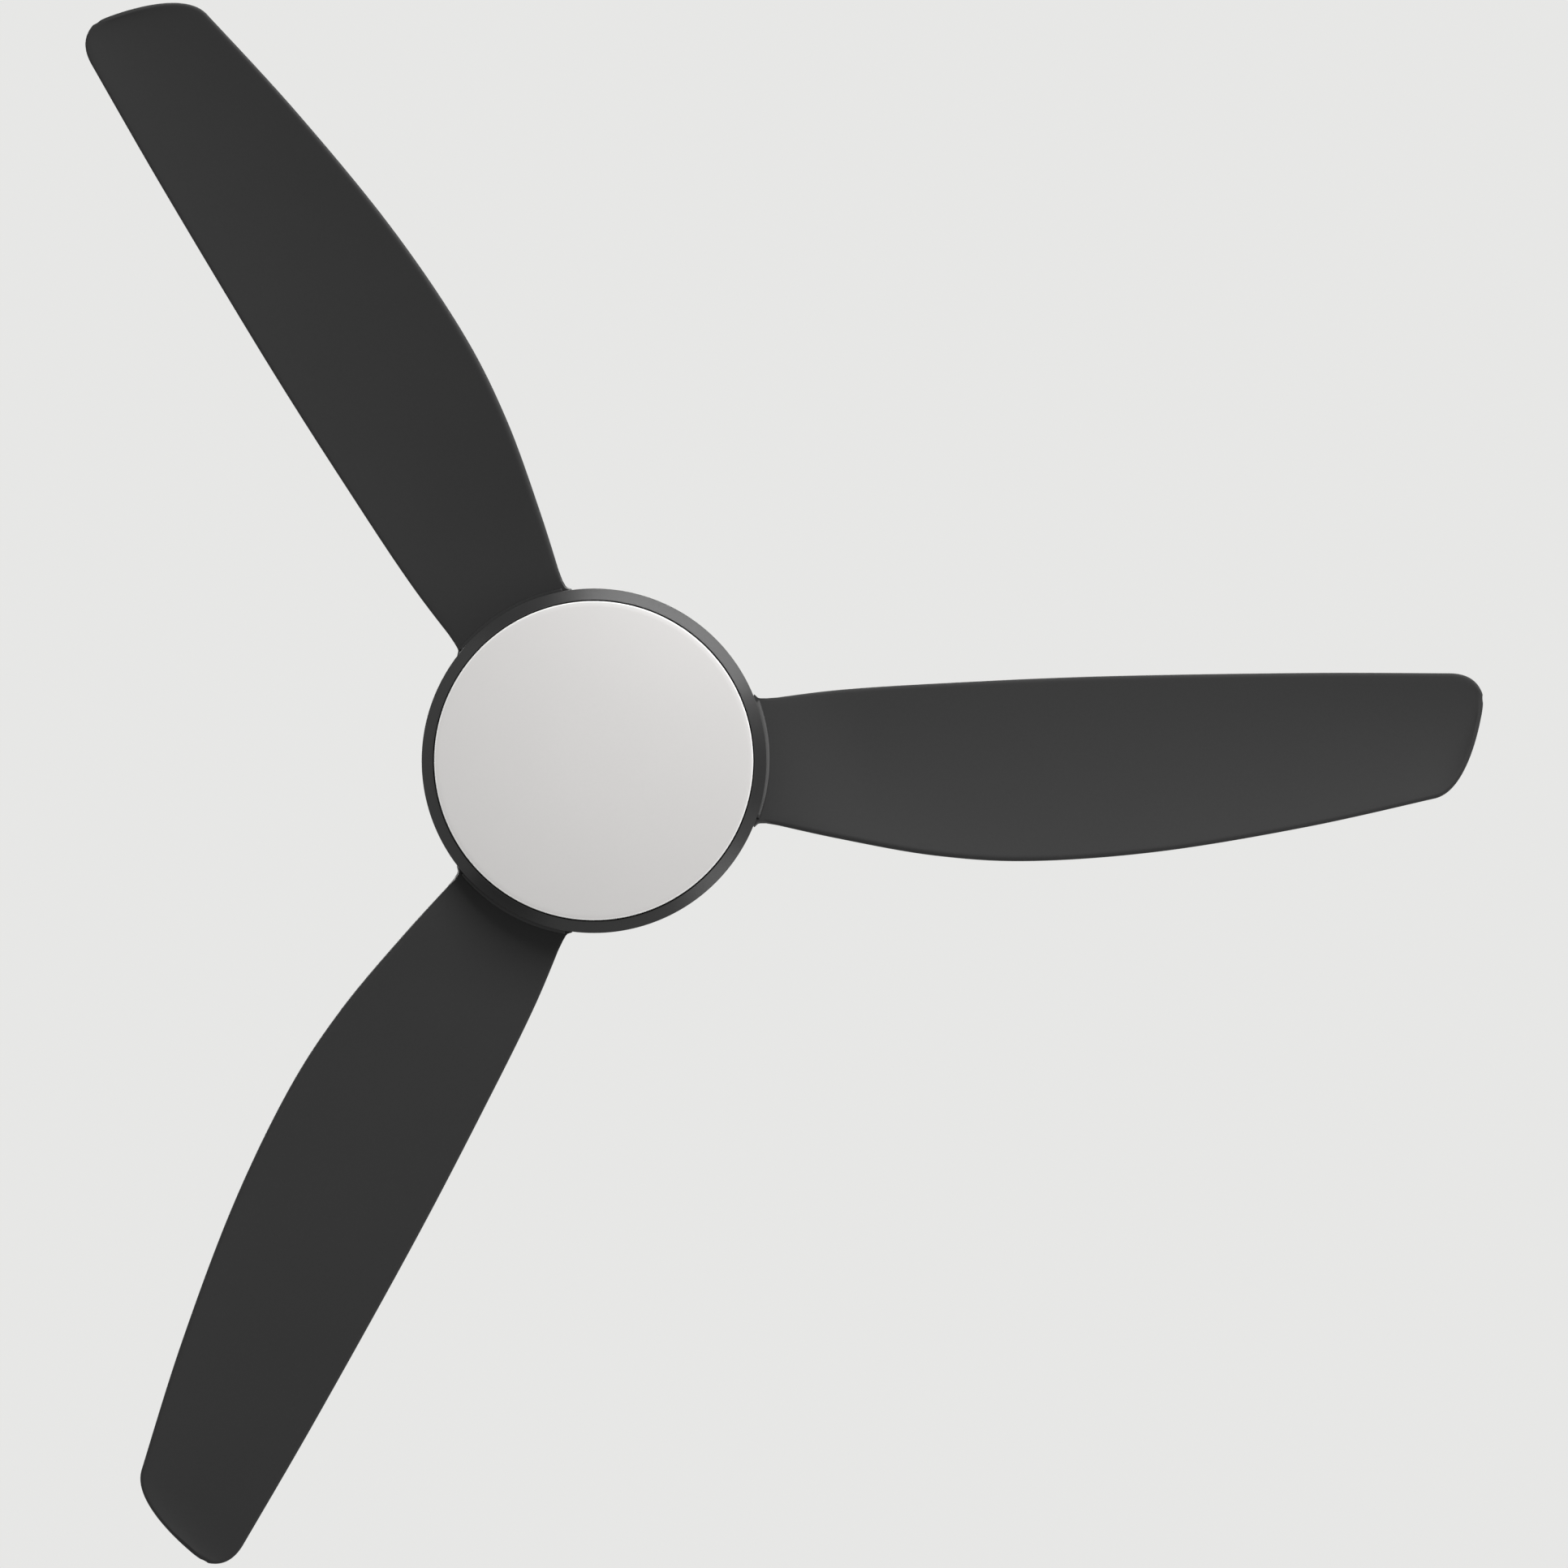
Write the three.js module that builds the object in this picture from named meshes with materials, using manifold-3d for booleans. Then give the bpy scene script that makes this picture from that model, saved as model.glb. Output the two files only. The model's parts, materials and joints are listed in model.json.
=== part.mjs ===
// Ceiling fan with light. Three blades turn with the outer rotor of the motor, which hangs
// on a short rod from a ball joint in the ceiling bracket. The light sits still under the hub.
// Millimetres, +Z up, origin on the ceiling plane in the middle of the bracket.

import * as THREE from 'three';
import Module from 'manifold-3d';
import { LoftGeometry } from 'three/addons/geometries/LoftGeometry.js';
import { mergeVertices } from 'three/addons/utils/BufferGeometryUtils.js';

const wasm = await Module();
wasm.setup();

// ---------------------------------------------------------------- driving dimensions

const seatGap = 0.3;                 // between two pieces that touch
const runGap = 2;                    // between a turning piece and a still one
const holeGap = 0.3;                 // round a screw or pin in its hole
const ballGap = 0.6;                 // round the ball and round its liner
const twistGap = 0.9;                // light pan to light cover

// overall
const sweepRadius = 600;             // fan axis to the farthest point of a blade
const hubRadius = 115.6;
const hubWall = 2.5;

// ceiling bracket
const plateInset = 20;               // bracket plate's end inside the canopy
const plateHalfY = 28;
const bracketSheet = 2.5;
const armInnerX = 36.75;
const armHalfY = 20;
const slotInset = 8;                 // plate end to a ceiling screw slot's middle
const slotWidth = 5.5;
const slotLength = 14;
const tabHalfY = 6;
const tabDepth = 17;
const tabGap = 0.8;                  // tab to canopy wall

// ball joint
const ballDrop = 42;                 // ceiling to ball centre
const ballRadius = 19;
const linerWall = 2;
const bowlMouthRadius = 17;
const ballTopRise = 12;
const ballBottomDrop = 14.5;
const rodTopRise = 14;

// canopy
const canopyLift = 0.8;              // ceiling to canopy rim
const canopyRadius = 74;
const canopyBelowBall = 21.8;
const canopyWall = 1.5;
const canopyRimDepth = 18;           // straight part under the rim
const canopyMouthRadius = 19;
const trimInnerRadius = 16.5;
const trimOuterRadius = 27;
const trimThickness = 2;
const canopyScrewDrop = 11;

// what the bracket carries
const receiverHalfY = 17;
const receiverOffsetY = -7;
const receiverHeight = 16;
const shelfWidth = 5;
const terminalSize = new THREE.Vector3(32, 12, 11);
const terminalOffsetY = 20;

// rod and yoke
const rodRadius = 10.65;
const rodWall = 2;
const neckLength = 44;               // bare rod between canopy and coupling cover
const couplingDepth = 32;
const couplingTopRadius = 21;
const couplingBottomRadius = 38;
const couplingWall = 2;
const yokeRadius = 15;
const yokeLength = 43;
const rodInYoke = 30;                // how far the rod reaches into the yoke
const clevisDepth = 14;              // yoke top to clevis pin
const yokeScrewDepth = 6;
const pinRadius = 3;
const crossPinRadius = 2.5;
const crossPinHalf = 15;
const clevisPinReach = 20;
const clipX = 17.6;                  // place of the clip along the clevis pin
const clipWire = 0.8;                // radius of the spring clip's wire

// motor
const shaftRadius = 10;
const shaftBore = 6;
const shaftThreadRadius = 8;
const hubTopClear = 18;              // hub top to motor top
const motorHeight = 48;
const motorInset = 31.6;             // hub side to motor side
const shellRim = 4;
const shellDisc = 3;
const bossWall = 4;                  // round a bearing
const bossRise = 4;
const lipThickness = 2.5;
const lipHoleGap = 4;                // shaft to the hole in the motor's faces
const bearingSection = 11;           // shaft to the bearing's outside
const bearingHeight = 12;
const innerRingWall = 1.9;
const outerRingWall = 2.2;
const bearingBall = 3;
const ballsPerBearing = 7;
const cageHalfHeight = 1.6;
const cageHalfWidth = 1.4;
const magnetThickness = 8;
const magnetHalfHeight = 12;
const airGap = 1.2;
const statorHalfHeight = 7;
const toothCount = 9;
const toothHalfWidth = 4;
const toothShoeDepth = 7;
const toothShoeHalfAngle = 16;
const statorCoreRadius = 38;
const coilWidth = 5;
const coilRise = 4;
const lugRadius = 6;
const lugReach = 4;                  // lug centre outside the shell
const lugHeight = 8;

// hub shells
const hubOpening = 40;
const domeDepth = 54;
const skirtDepth = 44;               // straight part of the top cover
const coverPostRadius = 7;
const coverPostPlace = 60;           // radius on which the cover's posts stand
const ringFace = 8;                  // width of the bevelled ring seen from below
const ringDepth = 17;
const ringStraight = 3;
const ringTongue = 5;

// blades
const bladeCount = 3;
const bladeDrop = 12;                // motor bottom to blade root plane
const rootPitch = 12;
const tipPitch = 9;
const rootThickness = 6;
const tipThickness = 4;
const rootHalfChord = 41.5;
const tongueInset = 29.6;            // hub side to the tongue's inner end
const tongueHalf = 30;
const tongueWidensInset = 18.6;      // the tongue grows to the full chord outside this
const camber = 4;
const slotGap = 0.6;                 // blade to its slot in the hub
const tipApex = 42;                  // how far ahead of the mid line the tip lies
const padThickness = 4;
const padLength = 46;
const padInset = 9.6;                // hub side to the pad's outer end
const padHalf = 28;
const postLength = 20;
const postHalf = 12;
const bladeScrewInsets = [[22.6, -18], [22.6, 18], [14.6, 0]];   // [hub side to screw, across]

// light
const plateRadius = 60;
const lightPlateDrop = 24.7;         // motor bottom to shaft shoulder
const lightPlateSheet = 2;
const nutHeight = 5;
const nutRadius = 13;
const panSheet = 2;
const panHoleRadius = 18;
const panSkirt = 15;
const panScrewPlace = 50;
const panBossInset = 22.9;           // pan side to the LED board's posts
const panBossRadius = 4;
const driverSize = new THREE.Vector3(70, 30, 11.5);
const driverOffsetY = 55;
const boardInset = 10.9;             // pan side to the LED board's edge
const boardThickness = 1.6;
const chipCount = 12;
const chipInset = 30;                // board edge to the ring of chips
const chipSize = new THREE.Vector3(5, 5, 1);
const diffuserGap = 0.9;             // light cover to the turning ring
const diffuserWall = 1.9;
const diffuserSkirt = 7;
const diffuserEdge = 5;              // radius between skirt and face
const diffuserRise = 9;
const rimBelowPan = 11.5;            // pan face down to the light cover's upper rim
const bayonetCount = 3;
const bayonetAngle = 10;             // width of a bayonet lug
const bayonetTwist = 15;
const bayonetDepth = 3;
const bayonetHeight = 2;

// supply lead inside the rod and shaft
const leadRadius = 2.2;

// screws: shank radius, head radius, head height
const smallScrew = { shank: 1.9, head: 3.8, rise: 2.2 };
const grubRadius = 2.2;

// segments round a full turn
const wideTurn = 30;
const middleTurn = 18;
const smallTurn = 8;

// ---------------------------------------------------------------- radii that follow others

const ringInnerRadius = hubRadius - ringFace;
const diffuserRadius = ringInnerRadius - diffuserGap;
const panRadius = diffuserRadius - diffuserWall - twistGap;
const boardRadius = panRadius - boardInset;
const chipPlace = boardRadius - chipInset;
const panBossPlace = panRadius - panBossInset;
const shellRadius = hubRadius - motorInset;
const bearingRadius = shaftRadius + bearingSection;
const bossRadius = bearingRadius + bossWall;
const lipHoleRadius = shaftRadius + lipHoleGap;
const tongueStart = hubRadius - tongueInset;
const tongueWidens = hubRadius - tongueWidensInset;
const padEnd = hubRadius - padInset;
const padStart = padEnd - padLength;
const postEnd = padStart + postLength;
const bladeScrewPlaces = bladeScrewInsets.map(([inset, across]) => [hubRadius - inset, across]);

// ---------------------------------------------------------------- levels, top to bottom

const ballZ = -ballDrop;
const canopyTopZ = -canopyLift;
const canopyBottomZ = ballZ - canopyBelowBall;
const canopyDepth = canopyTopZ - canopyBottomZ;
const couplingTopZ = canopyBottomZ - trimThickness - neckLength;
const couplingBottomZ = couplingTopZ - couplingDepth;
const yokeTopZ = couplingTopZ - couplingWall - seatGap;
const yokeBottomZ = yokeTopZ - yokeLength;
const rodBottomZ = yokeTopZ - rodInYoke;
const clevisZ = yokeTopZ - clevisDepth;
const hubTopZ = couplingBottomZ - runGap;
const motorTopZ = hubTopZ - hubTopClear;
const motorBottomZ = motorTopZ - motorHeight;
const motorMidZ = (motorTopZ + motorBottomZ) / 2;
const shoulderZ = hubTopZ - domeDepth;
const skirtBottomZ = shoulderZ - skirtDepth;
const bladeZ = motorBottomZ - bladeDrop;
const shaftTopZ = rodBottomZ - seatGap * 4;
const lightPlateTopZ = motorBottomZ - lightPlateDrop;
const lightPlateBottomZ = lightPlateTopZ - lightPlateSheet;
const panTopZ = lightPlateBottomZ - seatGap;
const panFaceZ = panTopZ - panSheet;
const shaftBottomZ = panTopZ - nutHeight - 2 * seatGap;
const driverTopZ = panFaceZ - seatGap;
const boardTopZ = driverTopZ - driverSize.z - seatGap;
const diffuserTopZ = panFaceZ - rimBelowPan;
const coverScrewSeatZ = hubTopZ - 3.6;
const coverScrewLength = coverScrewSeatZ - motorTopZ + 4.5;

// ---------------------------------------------------------------- geometry helpers

const degrees = THREE.MathUtils.degToRad;

// Closed solid from any closed geometry, with its faces pointing out.
function solidOf(geometry) {
  const bare = new THREE.BufferGeometry().copy(geometry);
  bare.deleteAttribute('normal');
  bare.deleteAttribute('uv');
  const merged = mergeVertices(bare, 1e-4);
  const points = merged.attributes.position.array;
  const corners = merged.index.array;
  const triangles = [];
  let volume = 0;
  for (let i = 0; i < corners.length; i += 3) {
    const [a, b, c] = [corners[i], corners[i + 1], corners[i + 2]];
    if (a === b || b === c || c === a) continue;
    triangles.push(a, b, c);
    volume += new THREE.Vector3().fromArray(points, 3 * a).dot(
      new THREE.Vector3().fromArray(points, 3 * b).cross(new THREE.Vector3().fromArray(points, 3 * c)));
  }
  if (volume < 0) triangles.reverse();
  return new wasm.Manifold(new wasm.Mesh({
    numProp: 3,
    vertProperties: new Float32Array(points),
    triVerts: new Uint32Array(triangles),
  }));
}

function geometryOf(solid) {
  const mesh = solid.getMesh();
  const geometry = new THREE.BufferGeometry();
  geometry.setAttribute('position', new THREE.BufferAttribute(new Float32Array(mesh.vertProperties), 3));
  geometry.setIndex(new THREE.BufferAttribute(new Uint32Array(mesh.triVerts), 1));
  geometry.computeVertexNormals();
  return geometry;
}

function join(base, others) {
  return geometryOf(others.reduce((sum, other) => sum.add(solidOf(other)), solidOf(base)));
}

function cut(base, tools) {
  return geometryOf(tools.reduce((rest, tool) => rest.subtract(solidOf(tool)), solidOf(base)));
}

// Ring or disc from a profile of [radius, z] pairs.
function revolve(profile, segments) {
  const points = profile.map(([radius, z]) => new THREE.Vector2(radius, z));
  points.push(points[0].clone());
  return new THREE.LatheGeometry(points, segments).rotateX(Math.PI / 2);
}

function tube(inner, outer, lowZ, highZ, segments) {
  return revolve([[inner, lowZ], [outer, lowZ], [outer, highZ], [inner, highZ]], segments);
}

// Upright solid cylinder between two levels.
function post(radius, lowZ, highZ, segments = smallTurn) {
  const cylinder = new THREE.CylinderGeometry(radius, radius, highZ - lowZ, segments);
  return cylinder.rotateX(Math.PI / 2).translate(0, 0, (lowZ + highZ) / 2);
}

// Cylinder along X between two places.
function bar(radius, lowX, highX, segments = smallTurn) {
  return post(radius, lowX, highX, segments).rotateY(Math.PI / 2);
}

function block(lowX, highX, lowY, highY, lowZ, highZ) {
  return new THREE.BoxGeometry(highX - lowX, highY - lowY, highZ - lowZ).translate(
    (lowX + highX) / 2, (lowY + highY) / 2, (lowZ + highZ) / 2);
}

function turned(geometry, angle) {
  return geometry.clone().rotateZ(degrees(angle));
}

// Copies spaced evenly round the axis, the first at startAngle.
function around(count, startAngle, geometry) {
  return Array.from({ length: count }, (_, i) => turned(geometry, startAngle + i * 360 / count));
}

// Points of a cubic curve between two [radius, z] pairs.
function curve(start, startPull, endPull, end, steps) {
  const line = new THREE.CubicBezierCurve(
    new THREE.Vector2(...start), new THREE.Vector2(...startPull),
    new THREE.Vector2(...endPull), new THREE.Vector2(...end));
  return line.getPoints(steps).map((point) => [point.x, point.y]);
}

// Screw with its head under z = 0 and its shank pointing up.
function screw(size, length) {
  return revolve([[0, -size.rise], [size.head, -size.rise], [size.head, 0], [size.shank, 0],
    [size.shank, length], [0, length]], 6);
}

// ---------------------------------------------------------------- finishes

function finish(color, roughness, metalness) {
  return new THREE.MeshStandardMaterial({ color, roughness, metalness });
}

const finishes = {
  blade: finish(0x36373a, 0.62, 0),
  housing: finish(0x303236, 0.5, 0.1),
  opal: finish(0xe4e2df, 0.35, 0),
  zinc: finish(0xb4b8bb, 0.42, 0.9),
  steel: finish(0x9a9da1, 0.3, 1),
  castAluminium: finish(0xa8abad, 0.55, 0.85),
  lamination: finish(0x6b6e73, 0.5, 0.9),
  copper: finish(0xb06a3c, 0.35, 0.9),
  ferrite: finish(0x2b2b2d, 0.6, 0.2),
  nylon: finish(0xd8d4c8, 0.5, 0),
  whiteMetal: finish(0xe8e8e6, 0.5, 0.1),
  circuit: finish(0xecebe6, 0.45, 0),
  case: finish(0x1f2022, 0.5, 0),
  sheath: finish(0x2a2a2c, 0.6, 0),
};

// ---------------------------------------------------------------- scene graph

const fan = new THREE.Group();

function addPiece(parent, name, geometry, material) {
  const mesh = new THREE.Mesh(geometryOf(solidOf(geometry)), material);
  mesh.name = name;
  parent.add(mesh);
  return mesh;
}

function addGroup(parent) {
  const group = new THREE.Group();
  parent.add(group);
  return group;
}

// ---------------------------------------------------------------- bracket and canopy

const linerRadius = ballRadius + ballGap + linerWall;
const bowlRadius = linerRadius + ballGap;
const canopyInner = canopyRadius - canopyWall;
const tabOuterX = canopyInner - tabGap;
const plateHalfX = canopyRadius - plateInset;
const slotX = plateHalfX - slotInset;
const shelfTopZ = -bracketSheet - 2 * seatGap - receiverHeight;
const canopyScrewZ = -canopyScrewDrop;
const trimTopZ = canopyBottomZ - seatGap;

// Slice of a hollow ball between two levels below or above its centre.
function ballShell(inner, outer, lowZ, highZ, segments) {
  const outside = arc(outer, lowZ, highZ);
  const inside = arc(inner, lowZ, highZ).reverse();
  return revolve([...outside, ...inside], segments).translate(0, 0, ballZ);
}

// Points of a circle about the origin between two levels.
function arc(radius, lowZ, highZ, steps = 4) {
  const low = Math.asin(lowZ / radius);
  const high = Math.asin(highZ / radius);
  return Array.from({ length: steps + 1 }, (_, i) => {
    const angle = low + (high - low) * i / steps;
    return [radius * Math.cos(angle), radius * Math.sin(angle)];
  });
}

function mountingBracket() {
  const armOuterX = armInnerX + bracketSheet;
  const wingTopZ = ballZ - 1;
  const wingBottomZ = wingTopZ - bracketSheet;
  const bowlLow = -Math.sqrt(bowlRadius ** 2 - bowlMouthRadius ** 2);
  const bowl = ballShell(bowlRadius, bowlRadius + bracketSheet, bowlLow, wingTopZ - ballZ, middleTurn);
  const wing = cut(
    block(-armOuterX, armOuterX, -armHalfY, armHalfY, wingBottomZ, wingTopZ),
    [post(bowlRadius + bracketSheet / 2, wingBottomZ - 1, wingTopZ + 1, middleTurn)]);
  const sides = [-1, 1].flatMap((side) => [
    block(side * armInnerX, side * armOuterX, -armHalfY, armHalfY, wingBottomZ, -bracketSheet / 2),
    block(side * (armInnerX - shelfWidth), side * (armInnerX + bracketSheet / 2),
      -armHalfY / 2, armHalfY / 2, shelfTopZ - bracketSheet, shelfTopZ),
    block(side * (tabOuterX - bracketSheet), side * tabOuterX, -tabHalfY, tabHalfY, -tabDepth, 0),
  ]);
  const solid = join(block(-plateHalfX, plateHalfX, -plateHalfY, plateHalfY, -bracketSheet, 0), [
    block(-tabOuterX, tabOuterX, -tabHalfY, tabHalfY, -bracketSheet, 0), wing, bowl, ...sides,
  ]);
  const rodWay = rodRadius + 1.5;
  const slot = block(-slotWidth / 2, slotWidth / 2, -slotLength / 2, slotLength / 2, -5, 5);
  return cut(solid, [
    block(-rodWay, rodWay, -2 * armHalfY, 0, ballZ - bowlRadius - bracketSheet - 1, wingTopZ + 1),
    slot.clone().translate(slotX, 0, 0),
    slot.clone().translate(-slotX, 0, 0),
    bar(smallScrew.shank + holeGap, -canopyRadius, canopyRadius, 8).translate(0, 0, canopyScrewZ),
  ]);
}

// Bell open at both ends, its rim under the ceiling and its mouth round the rod.
function canopyShell() {
  const bell = (rim, mouthZ, mouth) => curve(
    [rim, canopyTopZ - canopyRimDepth], [rim, mouthZ + canopyDepth * 0.22],
    [rim - canopyDepth * 0.3, mouthZ], [mouth, mouthZ], 6);
  const outer = [[canopyRadius, canopyTopZ], ...bell(canopyRadius, canopyBottomZ, canopyMouthRadius)];
  const inner = [[canopyInner, canopyTopZ],
    ...bell(canopyInner, canopyBottomZ + canopyWall, canopyMouthRadius)];
  return cut(revolve([...outer, ...inner.reverse()], wideTurn), [
    bar(smallScrew.shank + holeGap, -2 * canopyRadius, 2 * canopyRadius, 8).translate(0, 0, canopyScrewZ),
  ]);
}

const mount = addGroup(fan);
addPiece(mount, 'mounting_bracket', mountingBracket(), finishes.zinc);
addPiece(mount, 'canopy', canopyShell(), finishes.housing);
addPiece(mount, 'canopy_trim_ring', revolve([
  [trimInnerRadius, trimTopZ - trimThickness], [trimOuterRadius - 1, trimTopZ - trimThickness],
  [trimOuterRadius, trimTopZ - trimThickness + 1], [trimOuterRadius, trimTopZ],
  [trimInnerRadius, trimTopZ]], middleTurn), finishes.housing);

[-1, 1].forEach((side, index) => {
  const piece = addPiece(mount, `canopy_screw_${index + 1}`,
    screw(smallScrew, canopyRadius - tabOuterX + 2 * bracketSheet), finishes.steel);
  piece.position.set(side * (canopyRadius + seatGap), 0, canopyScrewZ);
  piece.rotation.y = -side * Math.PI / 2;
});

const receiverHalfX = armInnerX - seatGap;
addPiece(mount, 'receiver_box', block(-receiverHalfX, receiverHalfX,
  receiverOffsetY - receiverHalfY, receiverOffsetY + receiverHalfY,
  shelfTopZ + seatGap, shelfTopZ + seatGap + receiverHeight), finishes.case);
addPiece(mount, 'terminal_block', terminalBlock(), finishes.nylon);

// Block with a row of four wire holes from front to back.
function terminalBlock() {
  const topZ = -bracketSheet - seatGap;
  const body = block(-terminalSize.x / 2, terminalSize.x / 2, terminalOffsetY - terminalSize.y / 2,
    terminalOffsetY + terminalSize.y / 2, topZ - terminalSize.z, topZ);
  const wireHole = post(1.6, -terminalSize.y, terminalSize.y, 6).rotateX(Math.PI / 2);
  const pitch = terminalSize.x / 4;
  return cut(body, [-1.5, -0.5, 0.5, 1.5].map(
    (place) => wireHole.clone().translate(place * pitch, terminalOffsetY, topZ - terminalSize.z / 2)));
}

// ---------------------------------------------------------------- ball joint and rod

// Nylon cup between ball and bowl, open at the front so that the rod can slide in.
function ballSeatLiner() {
  const low = -Math.sqrt(linerRadius ** 2 - (bowlMouthRadius + 1) ** 2);
  const cup = ballShell(linerRadius - linerWall, linerRadius, low, 2, middleTurn);
  const rodWay = rodRadius + 1.5;
  return cut(cup, [block(-rodWay, rodWay, -2 * ballRadius, 0, ballZ - 2 * ballRadius, ballZ + 5)]);
}

function hangerBall() {
  const ball = revolve([
    [rodRadius + seatGap, -ballBottomDrop], ...arc(ballRadius, -ballBottomDrop, ballTopRise, 6),
    [rodRadius + seatGap, ballTopRise]], middleTurn).translate(0, 0, ballZ);
  const pinWay = crossPinRadius + holeGap;
  return cut(ball, [
    bar(pinWay, -crossPinHalf - seatGap, crossPinHalf + seatGap, 8).translate(0, 0, ballZ),
    block(-crossPinHalf - seatGap, crossPinHalf + seatGap, -pinWay, pinWay, ballZ, ballZ + ballRadius),
    ballScrewPlace(post(grubRadius + holeGap, rodRadius, ballRadius + 2, 8)),
  ]);
}

// The set screw of the ball lies level and points at the rod from behind.
function ballScrewPlace(geometry) {
  return geometry.rotateX(-Math.PI / 2).translate(0, 0, ballZ - 5);
}

function downrod() {
  const pipe = tube(rodRadius - rodWall, rodRadius, rodBottomZ, ballZ + rodTopRise, middleTurn);
  return cut(pipe, [
    bar(crossPinRadius + holeGap, -2 * rodRadius, 2 * rodRadius, 8).translate(0, 0, ballZ),
    bar(pinRadius + holeGap, -2 * rodRadius, 2 * rodRadius, 8).translate(0, 0, clevisZ),
  ]);
}

// Bell that hides the yoke and sits on its top.
function couplingCover() {
  const bore = rodRadius + seatGap;
  const bell = (topRadius, bottomRadius, topZ) => curve(
    [topRadius, topZ], [topRadius + 6, topZ - 6],
    [bottomRadius, couplingBottomZ + 18], [bottomRadius, couplingBottomZ], 5);
  const outer = bell(couplingTopRadius, couplingBottomRadius, couplingTopZ);
  const inner = bell(couplingTopRadius - couplingWall, couplingBottomRadius - couplingWall,
    couplingTopZ - couplingWall);
  return revolve([[bore, couplingTopZ], ...outer, ...inner.reverse(), [bore, couplingTopZ - couplingWall]],
    middleTurn);
}

function yoke() {
  const rodSeatZ = rodBottomZ - seatGap;
  const body = revolve([
    [shaftRadius + seatGap, yokeBottomZ], [yokeRadius, yokeBottomZ], [yokeRadius, yokeTopZ],
    [rodRadius + seatGap, yokeTopZ], [rodRadius + seatGap, rodSeatZ], [shaftRadius + seatGap, rodSeatZ],
  ], middleTurn);
  return cut(body, [
    bar(pinRadius + holeGap, -2 * yokeRadius, 2 * yokeRadius, 8).translate(0, 0, clevisZ),
    yokeScrewPlace(post(grubRadius + holeGap, -2 * yokeRadius, 2 * yokeRadius, 8)),
  ]);
}

function yokeScrewPlace(geometry) {
  return geometry.rotateX(Math.PI / 2).translate(0, 0, yokeTopZ - yokeScrewDepth);
}

function clevisPin() {
  const headX = yokeRadius + seatGap;
  return cut(join(bar(pinRadius, -clevisPinReach, headX + 1), [bar(pinRadius + 1.5, headX, headX + 2)]), [
    post(clipWire + 2 * holeGap, -2 * pinRadius, 2 * pinRadius, 6).translate(-clipX, 0, 0),
  ]).translate(0, 0, clevisZ);
}

// Hairpin with one leg through the pin and one leg past its end.
function clevisClip() {
  const outerX = clevisPinReach + clipWire + seatGap;
  const route = new THREE.CatmullRomCurve3([
    new THREE.Vector3(-clipX, 0, 6), new THREE.Vector3(-clipX, 0, 2), new THREE.Vector3(-clipX, 0, -4.5),
    new THREE.Vector3(-(clipX + outerX) / 2, 0, -7.5),
    new THREE.Vector3(-outerX, 0, -5), new THREE.Vector3(-outerX, 0, 6)]);
  return sweep(clipWire, route, 12, 6).translate(0, 0, clevisZ);
}

// Round wire along a curve.
function sweep(radius, route, steps, sides) {
  const section = new THREE.Shape(Array.from({ length: sides }, (_, i) => {
    const angle = 2 * Math.PI * i / sides;
    return new THREE.Vector2(radius * Math.cos(angle), radius * Math.sin(angle));
  }));
  return new THREE.ExtrudeGeometry(section, { steps, extrudePath: route, bevelEnabled: false });
}

const seat = addGroup(fan);
addPiece(seat, 'ball_seat_liner', ballSeatLiner(), finishes.nylon);

const hanger = addGroup(fan);
addPiece(hanger, 'hanger_ball', hangerBall(), finishes.nylon);
addPiece(hanger, 'ball_cross_pin', bar(crossPinRadius, -crossPinHalf, crossPinHalf, 8)
  .translate(0, 0, ballZ), finishes.steel);
addPiece(hanger, 'ball_set_screw', ballScrewPlace(
  post(grubRadius, rodRadius + seatGap, ballRadius - 2.5, 8)), finishes.steel);
addPiece(hanger, 'downrod', downrod(), finishes.housing);
addPiece(hanger, 'coupling_cover', couplingCover(), finishes.housing);
addPiece(hanger, 'yoke', yoke(), finishes.zinc);
addPiece(hanger, 'clevis_pin', clevisPin(), finishes.steel);
addPiece(hanger, 'clevis_clip', clevisClip(), finishes.steel);
[1, -1].forEach((side, index) => {
  const grub = post(grubRadius, rodRadius + seatGap, yokeRadius + 2, 8);
  const piece = addPiece(hanger, `yoke_screw_${index + 1}`, grub, finishes.steel);
  piece.position.z = yokeTopZ - yokeScrewDepth;
  piece.rotation.x = -side * Math.PI / 2;
});

// ---------------------------------------------------------------- motor

const shellTurn = 20;
const shellInner = shellRadius - shellRim;
const bearingSeatZ = bossRise - lipThickness;      // above the shell's face
const bearingMidZ = motorTopZ + bearingSeatZ - seatGap - bearingHeight / 2;
const bearingMirrorZ = 2 * motorMidZ - bearingMidZ;
const magnetInner = shellInner - seatGap - magnetThickness;
const statorRadius = magnetInner - airGap;
const lugPlace = shellRadius + lugReach;

// Half of the motor housing, shown for the upper half and mirrored for the lower one.
function halfShell() {
  const faceZ = motorHeight / 2;
  const innerZ = faceZ - shellDisc;
  const seatZ = faceZ + bearingSeatZ;
  const bossEndZ = seatZ - seatGap - bearingHeight;
  const bore = bearingRadius + seatGap;
  return revolve([
    [lipHoleRadius, faceZ + bossRise], [bossRadius, faceZ + bossRise], [bossRadius, faceZ],
    [shellRadius, faceZ], [shellRadius, seatGap / 2], [shellInner, seatGap / 2], [shellInner, innerZ],
    [bossRadius, innerZ], [bossRadius, bossEndZ], [bore, bossEndZ], [bore, seatZ], [lipHoleRadius, seatZ],
  ], shellTurn);
}

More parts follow.
